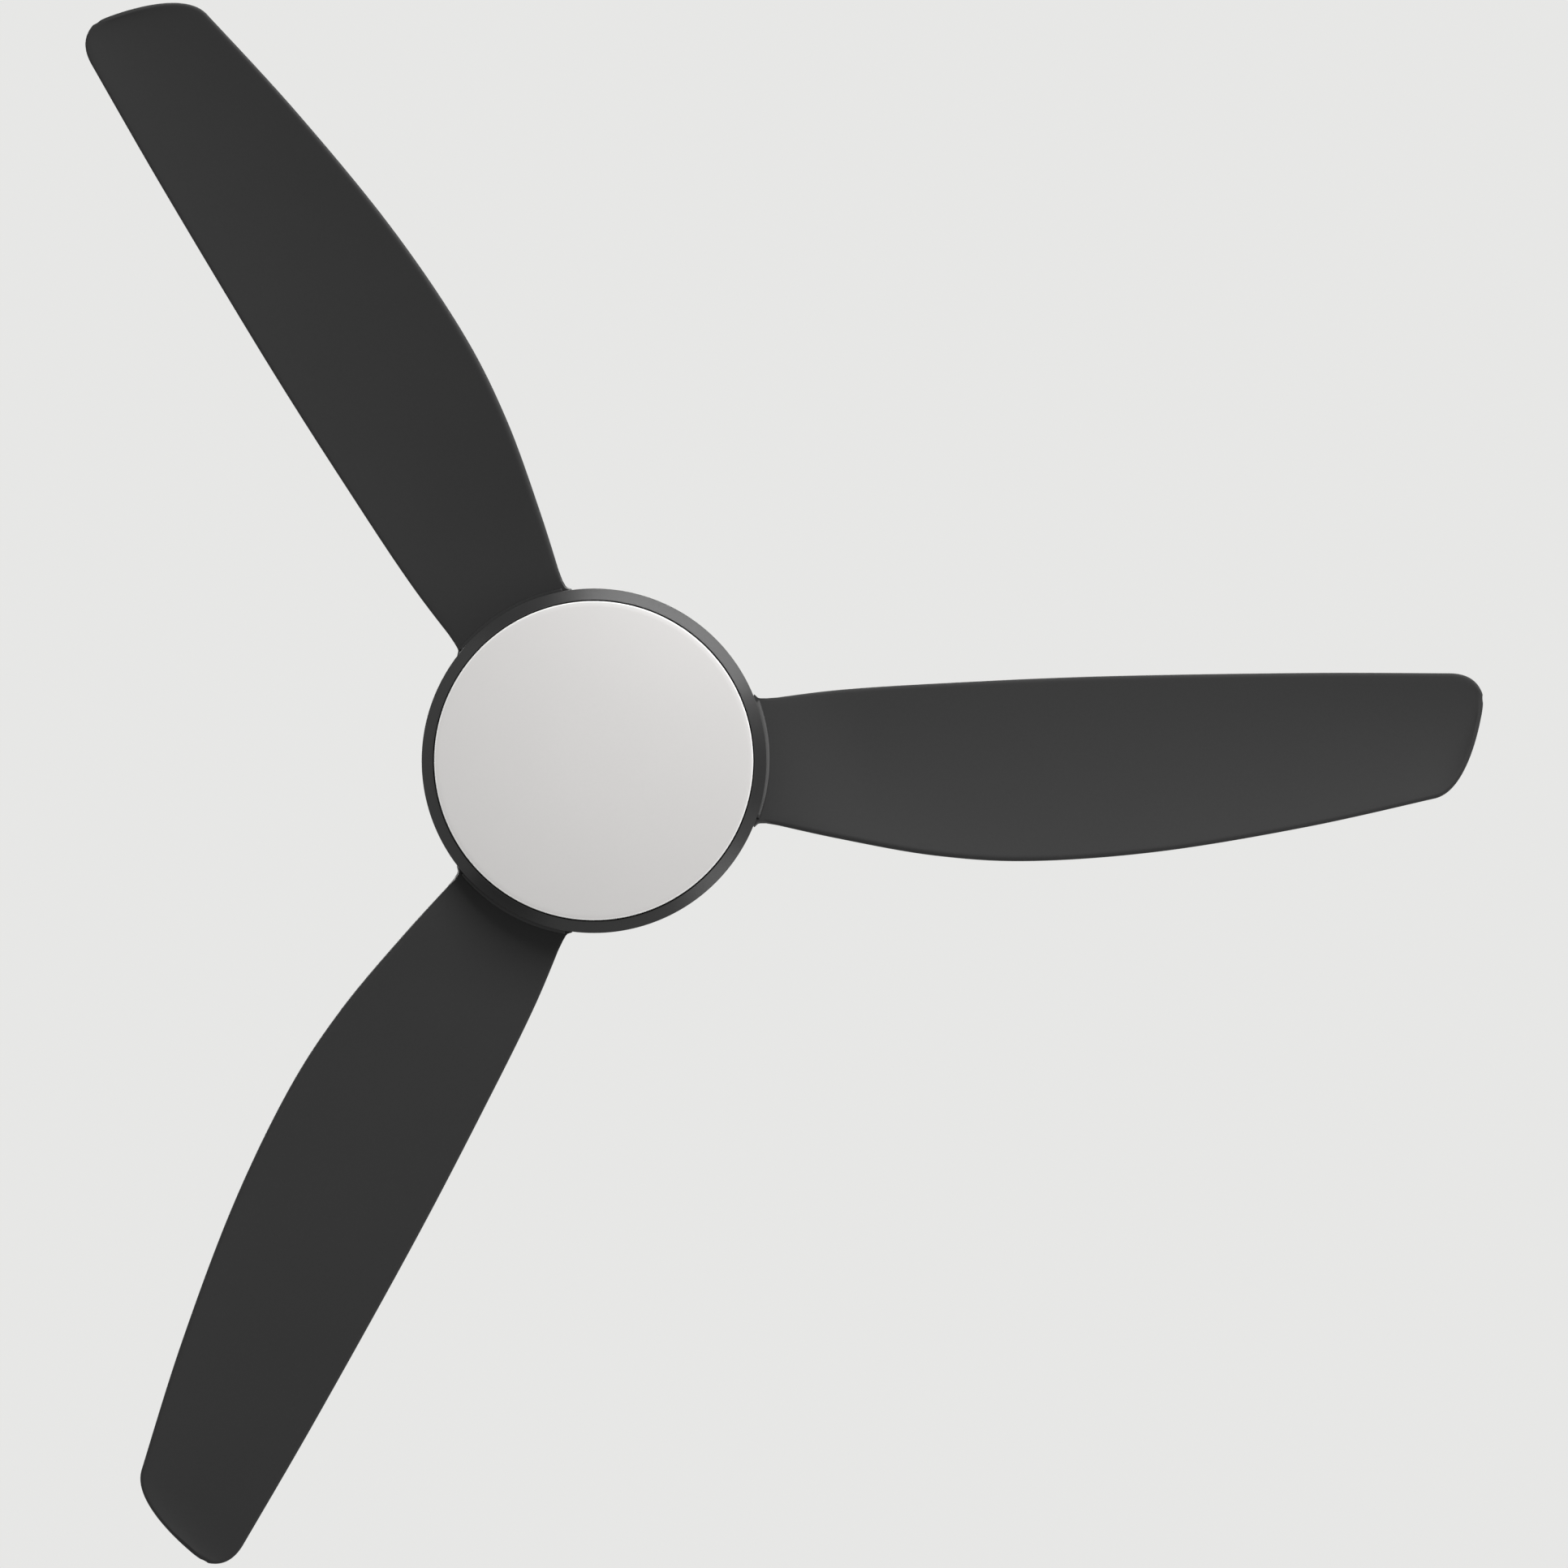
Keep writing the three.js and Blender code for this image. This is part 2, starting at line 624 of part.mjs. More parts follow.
function rotorTopShell() {
  const lug = post(lugRadius, seatGap / 2, lugHeight, smallTurn).translate(lugPlace, 0, 0);
  const lugHole = post(smallScrew.shank + holeGap, -1, lugHeight + 1, 6).translate(lugPlace, 0, 0);
  const coverHole = post(smallScrew.shank + holeGap, motorHeight / 2 - 2 * shellDisc, motorHeight / 2 + 1, 6)
    .translate(coverPostPlace, 0, 0);
  const shell = join(halfShell(), around(bladeCount, 60, lug));
  return cut(shell, [...around(bladeCount, 60, lugHole), ...around(bladeCount, 60, coverHole)])
    .translate(0, 0, motorMidZ);
}

// The lower half also carries an ear with a tilted pad for each blade.
function rotorBottomShell() {
  const lug = post(lugRadius, -lugHeight, -seatGap / 2, smallTurn).translate(lugPlace, 0, 0);
  const lugHole = post(smallScrew.shank + holeGap, -lugHeight - 1, 1, 6).translate(lugPlace, 0, 0);
  const ear = earPad();
  const earPost = block(padStart, postEnd, -postHalf, postHalf,
    bladeZ + rootThickness / 2 + padThickness - motorMidZ, -motorHeight / 2 + shellDisc / 2);
  const shell = join(halfShell().scale(1, 1, -1), [
    ...around(bladeCount, 60, lug), ...around(bladeCount, 0, earPost), ...around(bladeCount, 0, ear)]);
  const padHoles = bladeScrewPlaces.map(([u, v]) => tilt(
    post(smallScrew.shank + holeGap, -20, 20, 6).translate(u, -v, 0)).translate(0, 0, bladeZ - motorMidZ));
  return cut(shell, [
    ...around(bladeCount, 60, lugHole),
    ...padHoles.flatMap((hole) => around(bladeCount, 0, hole)),
  ]).translate(0, 0, motorMidZ);
}

// Turns a flat piece about the blade's length to the pitch of the blade root.
function tilt(geometry) {
  return geometry.rotateX(-degrees(rootPitch));
}

function earPad() {
  const low = rootThickness / 2 + seatGap;
  const pad = join(block(postEnd, padEnd, -padHalf, padHalf, low, low + padThickness),
    [block(padStart, postEnd + 1, -postHalf, postHalf, low, low + padThickness)]);
  return tilt(pad).translate(0, 0, bladeZ - motorMidZ);
}

function ringPiece(inner, outer, middleZ) {
  return tube(inner, outer, middleZ - bearingHeight / 2, middleZ + bearingHeight / 2, middleTurn);
}

// Ball cage: a thin ring with its balls threaded on it.
function bearingCage(middleZ) {
  const place = (shaftRadius + seatGap + innerRingWall + bearingRadius - outerRingWall) / 2;
  const ball = new THREE.IcosahedronGeometry(bearingBall, 0).translate(place, 0, 0);
  return join(tube(place - cageHalfWidth, place + cageHalfWidth, -cageHalfHeight, cageHalfHeight,
    2 * ballsPerBearing), around(ballsPerBearing, 0, ball)).translate(0, 0, middleZ);
}

// Toothed iron core, one tooth after another round the shaft.
function statorCore() {
  const outline = new THREE.Shape();
  const step = 360 / toothCount;
  const shoeRoot = statorRadius - toothShoeDepth;
  const corner = (radius, angle) => [radius * Math.cos(degrees(angle)), radius * Math.sin(degrees(angle))];
  for (let tooth = 0; tooth < toothCount; tooth += 1) {
    const middle = tooth * step;
    const neckAt = (radius) => THREE.MathUtils.radToDeg(Math.asin(toothHalfWidth / radius));
    const points = [
      corner(statorCoreRadius, middle - neckAt(statorCoreRadius)),
      corner(shoeRoot, middle - neckAt(shoeRoot)),
      corner(statorRadius - 2, middle - toothShoeHalfAngle),
      corner(statorRadius, middle - toothShoeHalfAngle),
      corner(statorRadius, middle),
      corner(statorRadius, middle + toothShoeHalfAngle),
      corner(statorRadius - 2, middle + toothShoeHalfAngle),
      corner(shoeRoot, middle + neckAt(shoeRoot)),
      corner(statorCoreRadius, middle + neckAt(statorCoreRadius)),
    ];
    points.forEach(([x, y], i) => (tooth + i === 0 ? outline.moveTo(x, y) : outline.lineTo(x, y)));
  }
  outline.closePath();
  const bore = new THREE.Path();
  bore.absarc(0, 0, shaftRadius + seatGap, 0, 2 * Math.PI, true);
  outline.holes.push(bore);
  return new THREE.ExtrudeGeometry(outline, {
    depth: 2 * statorHalfHeight, bevelEnabled: false, curveSegments: smallTurn,
  }).translate(0, 0, motorMidZ - statorHalfHeight);
}

// One coil round each tooth, all joined by the ring of their crossing wires.
function statorWinding() {
  const inner = toothHalfWidth + seatGap;
  const outer = inner + coilWidth;
  const startX = statorCoreRadius + 1;
  const endX = statorRadius - toothShoeDepth - 2;
  const halfHeight = statorHalfHeight + coilRise;
  const coil = cut(block(startX, endX, -outer, outer, -halfHeight, halfHeight), [
    block(startX - 1, endX + 1, -inner, inner, -statorHalfHeight - seatGap, statorHalfHeight + seatGap)]);
  const wires = tube(startX - 4, startX + 3, statorHalfHeight + seatGap, halfHeight, middleTurn);
  return join(wires, around(toothCount, 0, coil)).translate(0, 0, motorMidZ);
}

addPiece(hanger, 'motor_shaft', revolve([
  [shaftBore, shaftBottomZ], [shaftThreadRadius, shaftBottomZ], [shaftThreadRadius, lightPlateTopZ + seatGap],
  [shaftRadius, lightPlateTopZ + seatGap], [shaftRadius, shaftTopZ], [shaftBore, shaftTopZ],
], middleTurn), finishes.steel);
addPiece(hanger, 'stator_core', statorCore(), finishes.lamination);
addPiece(hanger, 'stator_winding', statorWinding(), finishes.copper);

const rotor = addGroup(fan);
addPiece(rotor, 'rotor_top_shell', rotorTopShell(), finishes.castAluminium);
addPiece(rotor, 'rotor_bottom_shell', rotorBottomShell(), finishes.castAluminium);
addPiece(rotor, 'magnet_ring', tube(magnetInner, shellInner - seatGap, motorMidZ - magnetHalfHeight,
  motorMidZ + magnetHalfHeight, shellTurn), finishes.ferrite);

[['upper', bearingMidZ], ['lower', bearingMirrorZ]].forEach(([name, middleZ]) => {
  const innerEdge = shaftRadius + seatGap;
  addPiece(hanger, `${name}_bearing_inner_ring`,
    ringPiece(innerEdge, innerEdge + innerRingWall, middleZ), finishes.steel);
  addPiece(rotor, `${name}_bearing_outer_ring`,
    ringPiece(bearingRadius - outerRingWall, bearingRadius, middleZ), finishes.steel);
  addPiece(addGroup(fan), `${name}_bearing_cage`, bearingCage(middleZ), finishes.steel);
});

for (let i = 0; i < bladeCount; i += 1) {
  const place = new THREE.Group();
  place.rotation.z = degrees(60 + i * 360 / bladeCount);
  rotor.add(place);
  const lugScrew = screw(smallScrew, 2 * lugHeight);
  const shellScrew = addPiece(place, `shell_screw_${i + 1}`, lugScrew, finishes.steel);
  shellScrew.position.set(lugPlace, 0, motorMidZ - lugHeight - seatGap);
  const coverScrew = addPiece(place, `cover_screw_${i + 1}`, screw(smallScrew, coverScrewLength),
    finishes.steel);
  coverScrew.position.set(coverPostPlace, 0, coverScrewSeatZ + seatGap);
  coverScrew.rotation.x = Math.PI;
}

// ---------------------------------------------------------------- hub shells

function domeLine(top, wall) {
  return curve([hubOpening, top], [hubOpening + 45, top], [hubRadius - wall, top - domeDepth * 0.3],
    [hubRadius - wall, shoulderZ], 5);
}

// Dome over the motor with straight sides, which the blade roots pass through.
function hubTopCover() {
  const innerTop = hubTopZ - hubWall;
  const inner = domeLine(innerTop, hubWall).reverse();
  const shell = revolve([
    ...domeLine(hubTopZ, 0), [hubRadius, skirtBottomZ], [hubRadius - hubWall, skirtBottomZ], ...inner,
  ], wideTurn);
  const standoff = post(coverPostRadius, motorTopZ + seatGap, coverScrewSeatZ + 1, smallTurn)
    .translate(coverPostPlace, 0, 0);
  const pocket = post(smallScrew.head + holeGap, coverScrewSeatZ, hubTopZ + 2, smallTurn)
    .translate(coverPostPlace, 0, 0);
  const screwHole = post(smallScrew.shank + holeGap, motorTopZ - 1, hubTopZ, 6)
    .translate(coverPostPlace, 0, 0);
  const slotHalf = (rootHalfChord + slotGap) / Math.cos(degrees(rootPitch));
  const slot = tilt(block(tongueWidens, hubRadius + 10, -slotHalf, slotHalf,
    -rootThickness / 2 - slotGap, rootThickness / 2 + slotGap)).translate(0, 0, bladeZ);
  return cut(join(shell, around(bladeCount, 60, standoff)), [
    ...around(bladeCount, 60, pocket),
    ...around(bladeCount, 60, screwHole),
    ...around(bladeCount, 0, slot),
  ]);
}

// Bevelled ring that closes the hub below and snaps into the cover.
function hubLowerRing() {
  const topZ = skirtBottomZ - seatGap;
  const bottomZ = topZ - ringDepth;
  const bevel = curve([hubRadius, topZ - ringStraight], [hubRadius, bottomZ + 5],
    [ringInnerRadius + 5, bottomZ], [ringInnerRadius + 0.8, bottomZ], 5);
  const tongueOuter = hubRadius - hubWall - seatGap;
  const tongueInner = tongueOuter - hubWall;
  return revolve([
    [hubRadius, topZ], ...bevel, [ringInnerRadius, bottomZ + 0.8], [ringInnerRadius, bottomZ + 4],
    [tongueInner, topZ - 4], [tongueInner, topZ + ringTongue], [tongueOuter, topZ + ringTongue],
    [tongueOuter, topZ],
  ], wideTurn);
}

addPiece(rotor, 'hub_top_cover', hubTopCover(), finishes.housing);
addPiece(rotor, 'hub_lower_ring', hubLowerRing(), finishes.housing);

// ---------------------------------------------------------------- blades

// The edges of a blade seen from below, as [distance along, distance across] from the mid line.
// Stations are shares of the length from hub to tip; the widths are real sizes.
const leadingWidths = [
  [0, rootHalfChord], [0.1, 47.7], [0.235, 52], [0.46, 56.8], [0.75, 59.2], [0.955, 59]];
const trailingWidths = [
  [0, rootHalfChord], [0.1, 52], [0.235, 63.5], [0.37, 67.2], [0.55, 60.7], [0.754, 44.3], [0.934, 25]];
const leadingTip = [[8, 58.7], [1, 52]];         // pulls of the tip's rounding, [back from tip, across]
const trailingTip = [[12, -19.5], [3, 18]];
const tipReach = Math.sqrt(sweepRadius ** 2 - tipApex ** 2);
const bladeLength = tipReach - hubRadius;

function edgeLine(widths, side, tipPulls) {
  const points = widths.map(([share, width]) =>
    new THREE.Vector2(hubRadius + share * bladeLength, side * width));
  const last = points[points.length - 1];
  const [firstPull, secondPull] = tipPulls.map(
    ([back, across]) => new THREE.Vector2(tipReach - back, across));
  const end = new THREE.Vector2(tipReach, tipApex);
  const tip = new THREE.CubicBezierCurve(last, firstPull, secondPull, end);
  return [...new THREE.SplineCurve(points).getPoints(60), ...tip.getPoints(60)];
}

const leadingLine = edgeLine(leadingWidths, 1, leadingTip);
const trailingLine = edgeLine(trailingWidths, -1, trailingTip);

function widthAt(line, reach) {
  const after = line.findIndex((point) => point.x >= reach);
  if (after < 1) return line[after < 0 ? line.length - 1 : 0].y;
  const [a, b] = [line[after - 1], line[after]];
  return a.y + (b.y - a.y) * (reach - a.x) / (b.x - a.x);
}

function smoothStep(low, high, value) {
  return THREE.MathUtils.smoothstep(value, low, high);
}

// One closed section of the blade, top side first.
function bladeSection(reach) {
  const inHub = smoothStep(tongueWidens, tongueWidens + 9, reach);
  const pastHub = smoothStep(hubRadius, hubRadius + 70, reach);
  const share = Math.max(0, (reach - hubRadius) / bladeLength);
  const half = tongueHalf + (rootHalfChord - tongueHalf) * inHub;
  const lead = reach < hubRadius ? half : widthAt(leadingLine, reach);
  const trail = reach < hubRadius ? -half : widthAt(trailingLine, reach);
  const slope = Math.tan(degrees(rootPitch + (tipPitch - rootPitch) * share));
  const thickness = rootThickness + (tipThickness - rootThickness) * share;
  const chordShare = (lead - trail) / (2 * rootHalfChord);
  const arch = camber * pastHub * Math.min(1, chordShare);
  const at = (place, side) => {
    const v = (lead + trail) / 2 + place * (lead - trail) / 2;
    const round = Math.sqrt(Math.max(0, 1 - place ** 8));
    const lift = slope * v + arch * (1 - place ** 2) + side * round * thickness / 2;
    return new THREE.Vector3(reach, -v, bladeZ + lift);
  };
  const places = [-1, -0.94, -0.55, 0, 0.55, 0.94, 1];
  return [...places.map((place) => at(place, 1)),
    ...places.slice(1, -1).reverse().map((place) => at(place, -1))];
}

function blade() {
  const tipBacks = [30, 20, 13, 8, 4, 1.5, 0.3];
  const along = [0.07, 0.16, 0.27, 0.39, 0.52, 0.66, 0.8].map(
    (share) => hubRadius + share * bladeLength);
  const reaches = [tongueStart, tongueWidens, tongueWidens + 4.5, tongueWidens + 9, hubRadius, ...along,
    ...tipBacks.map((back) => tipReach - back)];
  const loft = new LoftGeometry(reaches.map(bladeSection), { capStart: true, capEnd: true });
  const hole = post(smallScrew.shank + holeGap, -20, 20, 6);
  return cut(loft, bladeScrewPlaces.map(([u, v]) =>
    tilt(hole.clone().translate(u, -v, 0)).translate(0, 0, bladeZ)));
}

const bladeShape = blade();
const bladeScrewLength = rootThickness + padThickness + 2;
for (let i = 0; i < bladeCount; i += 1) {
  const place = new THREE.Group();
  place.rotation.z = degrees(i * 360 / bladeCount);
  rotor.add(place);
  addPiece(place, `blade_${i + 1}`, bladeShape, finishes.blade);
  const rootPlane = new THREE.Group();
  rootPlane.position.z = bladeZ;
  rootPlane.rotation.x = -degrees(rootPitch);
  place.add(rootPlane);
  bladeScrewPlaces.forEach(([u, v], j) => {
    const piece = addPiece(rootPlane, `blade_screw_${i + 1}_${j + 1}`, screw(smallScrew, bladeScrewLength),
      finishes.steel);
    piece.position.set(u, -v, -rootThickness / 2 - seatGap);
  });
}

// ---------------------------------------------------------------- light

function lightPlate() {
  const screwHole = post(smallScrew.shank + holeGap, lightPlateBottomZ - 1, lightPlateTopZ + 1, 8)
    .translate(panScrewPlace, 0, 0);
  return cut(tube(shaftThreadRadius + holeGap, plateRadius, lightPlateBottomZ, lightPlateTopZ, middleTurn),
    around(3, 30, screwHole));
}

function shaftNut() {
  const topZ = lightPlateBottomZ - seatGap;
  return cut(post(nutRadius, topZ - nutHeight, topZ, 6), [
    post(shaftThreadRadius + seatGap, topZ - nutHeight - 1, topZ + 1, middleTurn)]);
}

// Dish under the light plate, with posts for the LED board and bayonet ways in its skirt.
function lightPan() {
  const skirtBottom = panFaceZ - panSkirt;
  const dish = revolve([
    [panHoleRadius, panFaceZ], [panRadius - panSheet, panFaceZ], [panRadius - panSheet, skirtBottom],
    [panRadius, skirtBottom], [panRadius, panTopZ], [panHoleRadius, panTopZ]], wideTurn);
  const standoff = post(panBossRadius, boardTopZ + seatGap, panFaceZ + panSheet / 2, 8)
    .translate(panBossPlace, 0, 0);
  const screwHole = post(smallScrew.shank + holeGap, panFaceZ - 1, panTopZ + 1, 8)
    .translate(panScrewPlace, 0, 0);
  const lugTop = diffuserTopZ + 0.5;
  const lugBottom = diffuserTopZ - bayonetHeight - 0.5;
  const travelWay = wedge(panRadius - panSheet - 2, panRadius + 2, lugBottom, lugTop,
    -bayonetAngle / 2 - 1, bayonetAngle / 2 + bayonetTwist + 1);
  const entryWay = wedge(panRadius - panSheet - 2, panRadius + 2, skirtBottom - 1, lugTop,
    -bayonetAngle / 2 - 1 + bayonetTwist, bayonetAngle / 2 + bayonetTwist + 1);
  return cut(join(dish, around(3, 30, standoff)), [
    ...around(3, 30, screwHole),
    ...around(bayonetCount, 60, travelWay),
    ...around(bayonetCount, 60, entryWay),
  ]);
}

// Piece of a ring between two radii, two levels and two angles.
function wedge(inner, outer, lowZ, highZ, startAngle, endAngle) {
  const outline = new THREE.Shape();
  outline.absarc(0, 0, outer, degrees(startAngle), degrees(endAngle), false);
  outline.absarc(0, 0, inner, degrees(endAngle), degrees(startAngle), true);
  outline.closePath();
  return new THREE.ExtrudeGeometry(outline, { depth: highZ - lowZ, bevelEnabled: false, curveSegments: 4 })
    .translate(0, 0, lowZ);
}

function diffuserCover() {
  const skirtBottom = diffuserTopZ - diffuserSkirt;
  const face = (radius, z) => {
    const edgeEnd = [radius - diffuserEdge * 2.6, z - diffuserEdge * 1.5];
    const bottomZ = edgeEnd[1] - diffuserRise;
    const edge = curve([radius, z], [radius, z - diffuserEdge],
      [radius - diffuserEdge * 0.6, z - diffuserEdge * 1.25], edgeEnd, 3);
    const dome = curve(edgeEnd, [radius - diffuserEdge * 8, edgeEnd[1] - diffuserRise * 0.6],
      [radius * 0.35, bottomZ], [0, bottomZ], 4);
    return [...edge, ...dome.slice(1)];
  };
  const outer = face(diffuserRadius, skirtBottom);
  const inner = face(diffuserRadius - diffuserWall, skirtBottom + diffuserWall);
  const shell = revolve([[diffuserRadius, diffuserTopZ], ...outer, ...inner.reverse(),
    [diffuserRadius - diffuserWall, diffuserTopZ]], wideTurn);
  const lug = wedge(diffuserRadius - diffuserWall - bayonetDepth, diffuserRadius - diffuserWall / 2,
    diffuserTopZ - bayonetHeight, diffuserTopZ, -bayonetAngle / 2, bayonetAngle / 2);
  return join(shell, around(bayonetCount, 60, lug));
}

function ledBoard() {
  const chip = block(chipPlace - chipSize.x / 2, chipPlace + chipSize.x / 2,
    -chipSize.y / 2, chipSize.y / 2, boardTopZ - boardThickness - chipSize.z, boardTopZ - boardThickness / 2);
  return join(post(boardRadius, boardTopZ - boardThickness, boardTopZ, wideTurn),
    around(chipCount, 0, chip));
}

// Lead from the top of the rod, past both pins, through the shaft and across to the driver.
function supplyLead() {
  const besidePin = pinRadius + leadRadius + seatGap;
  const inShaft = leadRadius + seatGap - shaftBore / 2;
  const acrossZ = shaftBottomZ - leadRadius - 1.6;
  const route = new THREE.CatmullRomCurve3([
    new THREE.Vector3(0, besidePin, ballZ + rodTopRise + 1),
    new THREE.Vector3(0, besidePin, (ballZ + clevisZ) / 2),
    new THREE.Vector3(0, besidePin, clevisZ - pinRadius - 3),
    new THREE.Vector3(0, inShaft, shaftTopZ - 4),
    new THREE.Vector3(0, inShaft, (shaftTopZ + shaftBottomZ) / 2),
    new THREE.Vector3(0, -2.5, shaftBottomZ + 8),
    new THREE.Vector3(0, -1, shaftBottomZ - 0.5),
    new THREE.Vector3(0, 9, acrossZ),
    new THREE.Vector3(0, driverOffsetY - driverSize.y / 2 - seatGap, acrossZ),
  ]);
  return sweep(leadRadius, route, 34, 8);
}

addPiece(hanger, 'light_plate', lightPlate(), finishes.zinc);
addPiece(hanger, 'shaft_nut', shaftNut(), finishes.steel);
addPiece(hanger, 'light_pan', lightPan(), finishes.whiteMetal);
for (let i = 0; i < 3; i += 1) {
  const angle = degrees(30 + i * 120);
  const piece = addPiece(hanger, `pan_screw_${i + 1}`, screw(smallScrew, panSheet + lightPlateSheet + 2),
    finishes.steel);
  piece.position.set(panScrewPlace * Math.cos(angle), panScrewPlace * Math.sin(angle), panFaceZ - seatGap);
}
addPiece(hanger, 'led_driver', block(-driverSize.x / 2, driverSize.x / 2, driverOffsetY - driverSize.y / 2,
  driverOffsetY + driverSize.y / 2, driverTopZ - driverSize.z, driverTopZ), finishes.case);
addPiece(hanger, 'led_board', ledBoard(), finishes.circuit);
addPiece(hanger, 'supply_lead', supplyLead(), finishes.sheath);
addPiece(addGroup(fan), 'diffuser', diffuserCover(), finishes.opal);

export default fan;
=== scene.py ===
import json
import math
import bmesh
import bpy
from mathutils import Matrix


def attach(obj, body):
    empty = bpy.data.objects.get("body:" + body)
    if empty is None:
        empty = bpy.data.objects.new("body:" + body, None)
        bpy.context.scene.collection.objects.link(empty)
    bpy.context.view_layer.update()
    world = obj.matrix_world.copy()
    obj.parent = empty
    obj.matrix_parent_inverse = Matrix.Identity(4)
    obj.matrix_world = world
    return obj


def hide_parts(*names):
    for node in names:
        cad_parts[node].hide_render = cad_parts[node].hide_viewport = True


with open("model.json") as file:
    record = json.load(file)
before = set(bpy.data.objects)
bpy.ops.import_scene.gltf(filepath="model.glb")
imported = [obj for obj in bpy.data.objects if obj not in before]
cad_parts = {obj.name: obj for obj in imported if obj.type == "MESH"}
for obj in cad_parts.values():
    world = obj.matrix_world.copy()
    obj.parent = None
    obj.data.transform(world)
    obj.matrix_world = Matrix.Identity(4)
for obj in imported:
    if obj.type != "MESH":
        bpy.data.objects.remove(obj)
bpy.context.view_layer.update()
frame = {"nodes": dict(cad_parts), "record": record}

mm = 0.001

# camera, lamps and surroundings

camera = {
    "aimX": 127.5, "aimY": 15.6,     # the fan axis sits left of the middle and a little above it
    "below": 10000,                  # ceiling down to the camera
    "widthSeen": 1054.9,             # width of the view at the blades
    "bladeLevel": -221.8,
}
lamps = {
    "key": {"place": (1200, -2150, -3350), "size": 2400, "watts": 114, "colour": (1.0, 0.995, 0.99)},
    "side": {"place": (1300, -2250, 20), "size": 3600, "tall": 600, "watts": 68, "colour": (1.0, 1.0, 1.0)},
    "lowFill": {"place": (2300, 2200, -350), "size": 1400, "watts": 19, "colour": (1.0, 1.0, 1.0)},
    "leftFill": {"place": (-3000, -300, -1700), "size": 2200, "watts": 4, "colour": (1.0, 1.0, 1.0)},
    "topSoft": {"place": (-600, -1200, 3400), "size": 3000, "watts": 150, "colour": (1.0, 0.99, 0.98)},
}
aimPoint = (0, 0, -200)
surroundings = {
    "backdrop": (0.80, 0.80, 0.79),
    "ambient": (0.33, 0.33, 0.33),
    "floor": (0.72, 0.72, 0.71),
    "floorLevel": -11500,
    "floorSize": 120000,
}


def makeCamera():
    data = bpy.data.cameras.new("camera")
    eye = bpy.data.objects.new("camera", data)
    bpy.context.scene.collection.objects.link(eye)
    eye.location = (camera["aimX"] * mm, camera["aimY"] * mm, -camera["below"] * mm)
    eye.rotation_euler = (math.pi, 0, 0)       # looks straight up, with -Y at the top
    data.sensor_width = 36
    data.lens = 36 * (camera["below"] + camera["bladeLevel"]) / camera["widthSeen"]
    data.clip_start = 0.1
    data.clip_end = 200
    bpy.context.scene.camera = eye


def makeLamp(name, values):
    data = bpy.data.lights.new(name, "AREA")
    data.shape = "RECTANGLE" if "tall" in values else "DISK"
    data.size = values["size"] * mm
    data.size_y = values.get("tall", values["size"]) * mm
    data.energy = values["watts"]
    data.color = values["colour"]
    lamp = bpy.data.objects.new(name, data)
    bpy.context.scene.collection.objects.link(lamp)
    place = [value * mm for value in values["place"]]
    lamp.location = place
    away = [place[i] - aimPoint[i] * mm for i in range(3)]
    level = math.hypot(away[0], away[1])
    lamp.rotation_euler = (math.atan2(level, away[2]), 0, math.atan2(away[1], away[0]) + math.pi / 2)
    lamp.visible_camera = False


def mixSeen(tree, lit, seen, out):
    # what the camera, reflections and see-through parts meet is the seen colour, and the rest is lit
    path = addNode(tree, "ShaderNodeLightPath")
    first = addMath(tree, "MAXIMUM", path.outputs["Is Camera Ray"], path.outputs["Is Glossy Ray"])
    mix = addNode(tree, "ShaderNodeMixShader")
    feed(tree, mix.inputs[0], addMath(tree, "MAXIMUM", first, path.outputs["Is Transmission Ray"]))
    feed(tree, mix.inputs[1], lit.outputs[0])
    feed(tree, mix.inputs[2], seen.outputs[0])
    feed(tree, out.inputs["Surface"], mix.outputs[0])


def makeWorld():
    world = bpy.data.worlds.new("surroundings")
    bpy.context.scene.world = world
    world.use_nodes = True
    tree = world.node_tree
    tree.nodes.clear()
    seen = addNode(tree, "ShaderNodeBackground")
    feed(tree, seen.inputs["Color"], surroundings["backdrop"])
    ambient = addNode(tree, "ShaderNodeBackground")
    feed(tree, ambient.inputs["Color"], surroundings["ambient"])
    mixSeen(tree, ambient, seen, addNode(tree, "ShaderNodeOutputWorld"))


def makeFloor():
    clearSelection()
    bpy.ops.mesh.primitive_plane_add(size=surroundings["floorSize"] * mm,
                                     location=(0, 0, surroundings["floorLevel"] * mm))
    floor = bpy.context.active_object
    floor.name = "floor"
    bpy.ops.object.transform_apply(location=True, rotation=True, scale=True)
    finish, tree, shader = startMaterial("floorPaint", Base_Color=surroundings["floor"], Roughness=0.85)
    seen = addNode(tree, "ShaderNodeEmission")
    feed(tree, seen.inputs["Color"], surroundings["backdrop"])
    mixSeen(tree, shader, seen, tree.nodes["Material Output"])
    floor.data.materials.append(finish)


# helpers for shader nodes

def addNode(tree, kind, **values):
    node = tree.nodes.new(kind)
    for name, value in values.items():
        setattr(node, name, value)
    return node


def feed(tree, socket, source):
    # source is a number, a colour or another node's output
    if isinstance(source, bpy.types.NodeSocket):
        tree.links.new(source, socket)
    elif isinstance(source, (tuple, list)) and len(source) == 3 and socket.type == "RGBA":
        socket.default_value = (*source, 1)
    else:
        socket.default_value = source


def addMath(tree, operation, a, b=0.0, clamp=False):
    node = addNode(tree, "ShaderNodeMath", operation=operation, use_clamp=clamp)
    feed(tree, node.inputs[0], a)
    feed(tree, node.inputs[1], b)
    return node.outputs[0]


def times(tree, a, b, clamp=False):
    return addMath(tree, "MULTIPLY", a, b, clamp)


